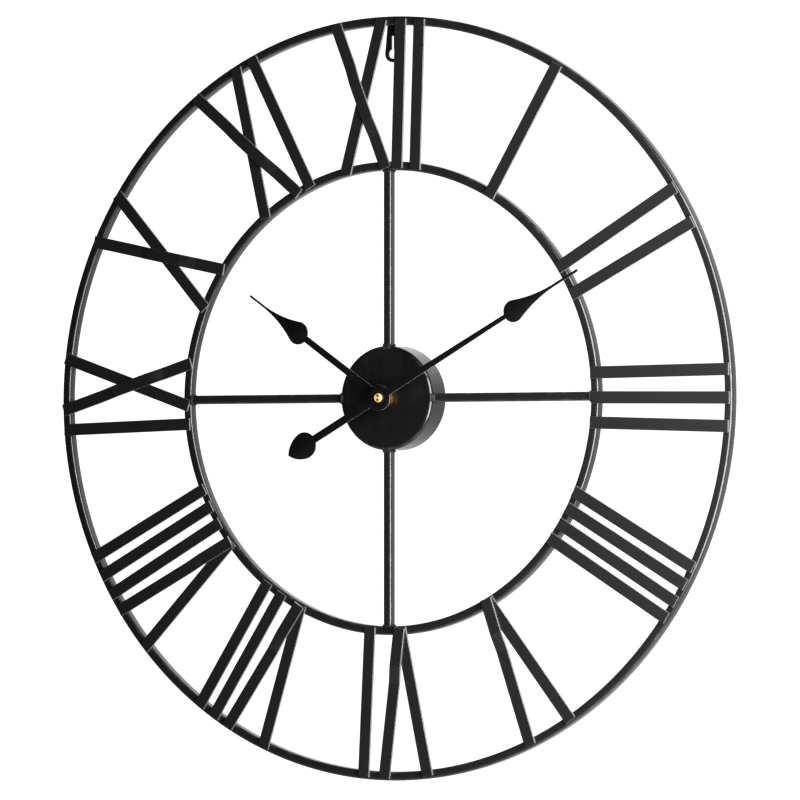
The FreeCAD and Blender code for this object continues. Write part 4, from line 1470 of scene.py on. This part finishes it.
@dataclass
class Studio:
    """Pale floor, soft light and the camera."""

    azimuth: float = math.radians(28.93)
    elevation: float = math.radians(-1.0)
    distance: float = 4.627
    focal: float = 265.3
    shift: tuple[float, float] = (0.01634, -0.00241)
    floor_drop: float = 0.34
    floor_radius: float = 5.5
    floor_seam: float = 0.25
    backdrop: float = 0.86
    backdrop_rise: tuple[float, float] = (0.50, 0.74)
    overhead: float = 1.05
    overhead_rise: tuple[float, float] = (0.05, 0.75)
    front_gloom: float = 0.022
    softbox_place: tuple[float, float, float] = (0.53, -0.37, 0.05)
    softbox_size: tuple[float, float] = (0.52, 0.95)
    softbox_power: float = 21.5

    def build(self) -> None:
        """Builds the studio round the clock."""
        low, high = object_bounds()
        floor, seam = low.z - self.floor_drop, high.y + self.floor_seam
        for part, behind in (("front", False), ("back", True)):
            self.build_floor(f"studio_floor_{part}", floor, seam, behind)
        self.build_world()
        self.build_softbox("right_softbox")
        self.build_camera()

    def build_floor(self, name: str, height: float, seam: float, behind: bool) -> None:
        """Builds one part of the round pale floor under the clock.

        Only the part behind the clock lights it, so that the dial stays dark.

        Args:
            name: the part's name.
            height: the floor's height.
            seam: y of the line where the two parts meet.
            behind: whether this is the part behind the clock.
        """
        shape = bmesh.new()
        bmesh.ops.create_circle(shape, cap_ends=True, radius=self.floor_radius, segments=96)
        bmesh.ops.bisect_plane(
            shape,
            geom=list(shape.verts) + list(shape.edges) + list(shape.faces),
            plane_co=(0.0, seam, 0.0),
            plane_no=AXIS,
            clear_inner=behind,
            clear_outer=not behind,
        )
        bmesh.ops.translate(shape, verts=shape.verts, vec=(0.0, 0.0, height))
        for face in shape.faces:
            if face.normal.z < 0.0:
                face.normal_flip()
        floor = link_mesh(shape, name, StudioPaint("studio_floor_paint"))
        if not behind:
            glow_on = bpy.data.collections.new("floor_glow")
            glow_on.objects.link(floor)
            floor.light_linking.receiver_collection = glow_on
        floor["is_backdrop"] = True

    def build_world(self) -> None:
        """Builds the studio's surroundings: a lit backdrop behind the clock and a dim front."""
        world = bpy.data.worlds.new("studio")
        world.use_nodes = True
        bpy.context.scene.world = world
        recipe = Recipe(world.node_tree)
        direction = recipe.node("ShaderNodeTexCoord").outputs["Generated"]
        _, back, up = recipe.parts(direction)
        higher = up.eased(*self.overhead_rise) * self.overhead + 1.0
        lit = back.eased(*self.backdrop_rise) * self.backdrop * higher + self.front_gloom
        seen = recipe.node("ShaderNodeLightPath").outputs["Is Camera Ray"]
        room, white = (
            recipe.node(
                "ShaderNodeBackground", inputs={"Color": (1.0, 1.0, 1.0, 1.0), "Strength": strength}
            )
            for strength in (lit, 1.0)
        )
        mixed = recipe.node(
            "ShaderNodeMixShader", inputs={0: seen, 1: room.outputs[0], 2: white.outputs[0]}
        )
        output = recipe.node("ShaderNodeOutputWorld")
        recipe.tree.links.new(mixed.outputs[0], output.inputs["Surface"])

    def build_softbox(self, name: str) -> None:
        """Hangs the soft area light that faces the clock.

        Args:
            name: the light's name.
        """
        place = Vector(self.softbox_place)
        light = bpy.data.lights.new(name, "AREA")
        light.shape = "RECTANGLE"
        light.size, light.size_y = self.softbox_size
        light.energy = self.softbox_power
        lamp = bpy.data.objects.new(name, light)
        lamp.location = place
        lamp.rotation_euler = (-place).to_track_quat("-Z", "Y").to_euler()
        lamp.visible_camera = False
        bpy.context.scene.collection.objects.link(lamp)

    def build_camera(self) -> None:
        """Sets the camera to the right of the dial and a touch below its axis."""
        aim = Vector((0.0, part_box("outer_ring")[0].y, 0.0))
        level = math.cos(self.elevation)
        back = Vector(
            (
                math.sin(self.azimuth) * level,
                -math.cos(self.azimuth) * level,
                math.sin(self.elevation),
            )
        )
        lens = bpy.data.cameras.new("camera")
        lens.lens = self.focal
        lens.shift_x, lens.shift_y = self.shift
        lens.clip_end = 100.0
        camera = bpy.data.objects.new("camera", lens)
        camera.location = aim + back * self.distance
        camera.rotation_mode = "QUATERNION"
        camera.rotation_quaternion = (-back).to_track_quat("-Z", "Y")
        bpy.context.scene.collection.objects.link(camera)
        bpy.context.scene.camera = camera
        bpy.context.scene.view_settings.view_transform = "Standard"
        bpy.context.scene.view_settings.look = "Medium High Contrast"


def main() -> None:
    """Builds the clock's looks and the studio."""
    logging.basicConfig(level=logging.INFO, format="%(message)s")
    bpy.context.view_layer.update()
    WeldedFrame().build()
    minute_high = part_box("minute_hand")[1]
    hour_low, hour_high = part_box("hour_hand")
    minute_along = math.degrees(math.atan2(minute_high.x, minute_high.z))
    hour_along = math.degrees(math.atan2(hour_low.x, hour_high.z))
    Hand("minute_hand", Body.MINUTE, minute_along).build()
    Hand("hour_hand", Body.HOUR, hour_along).build()
    HandFittings().build()
    Movement().build()
    Studio().build()


if __name__ == "__main__":
    main()
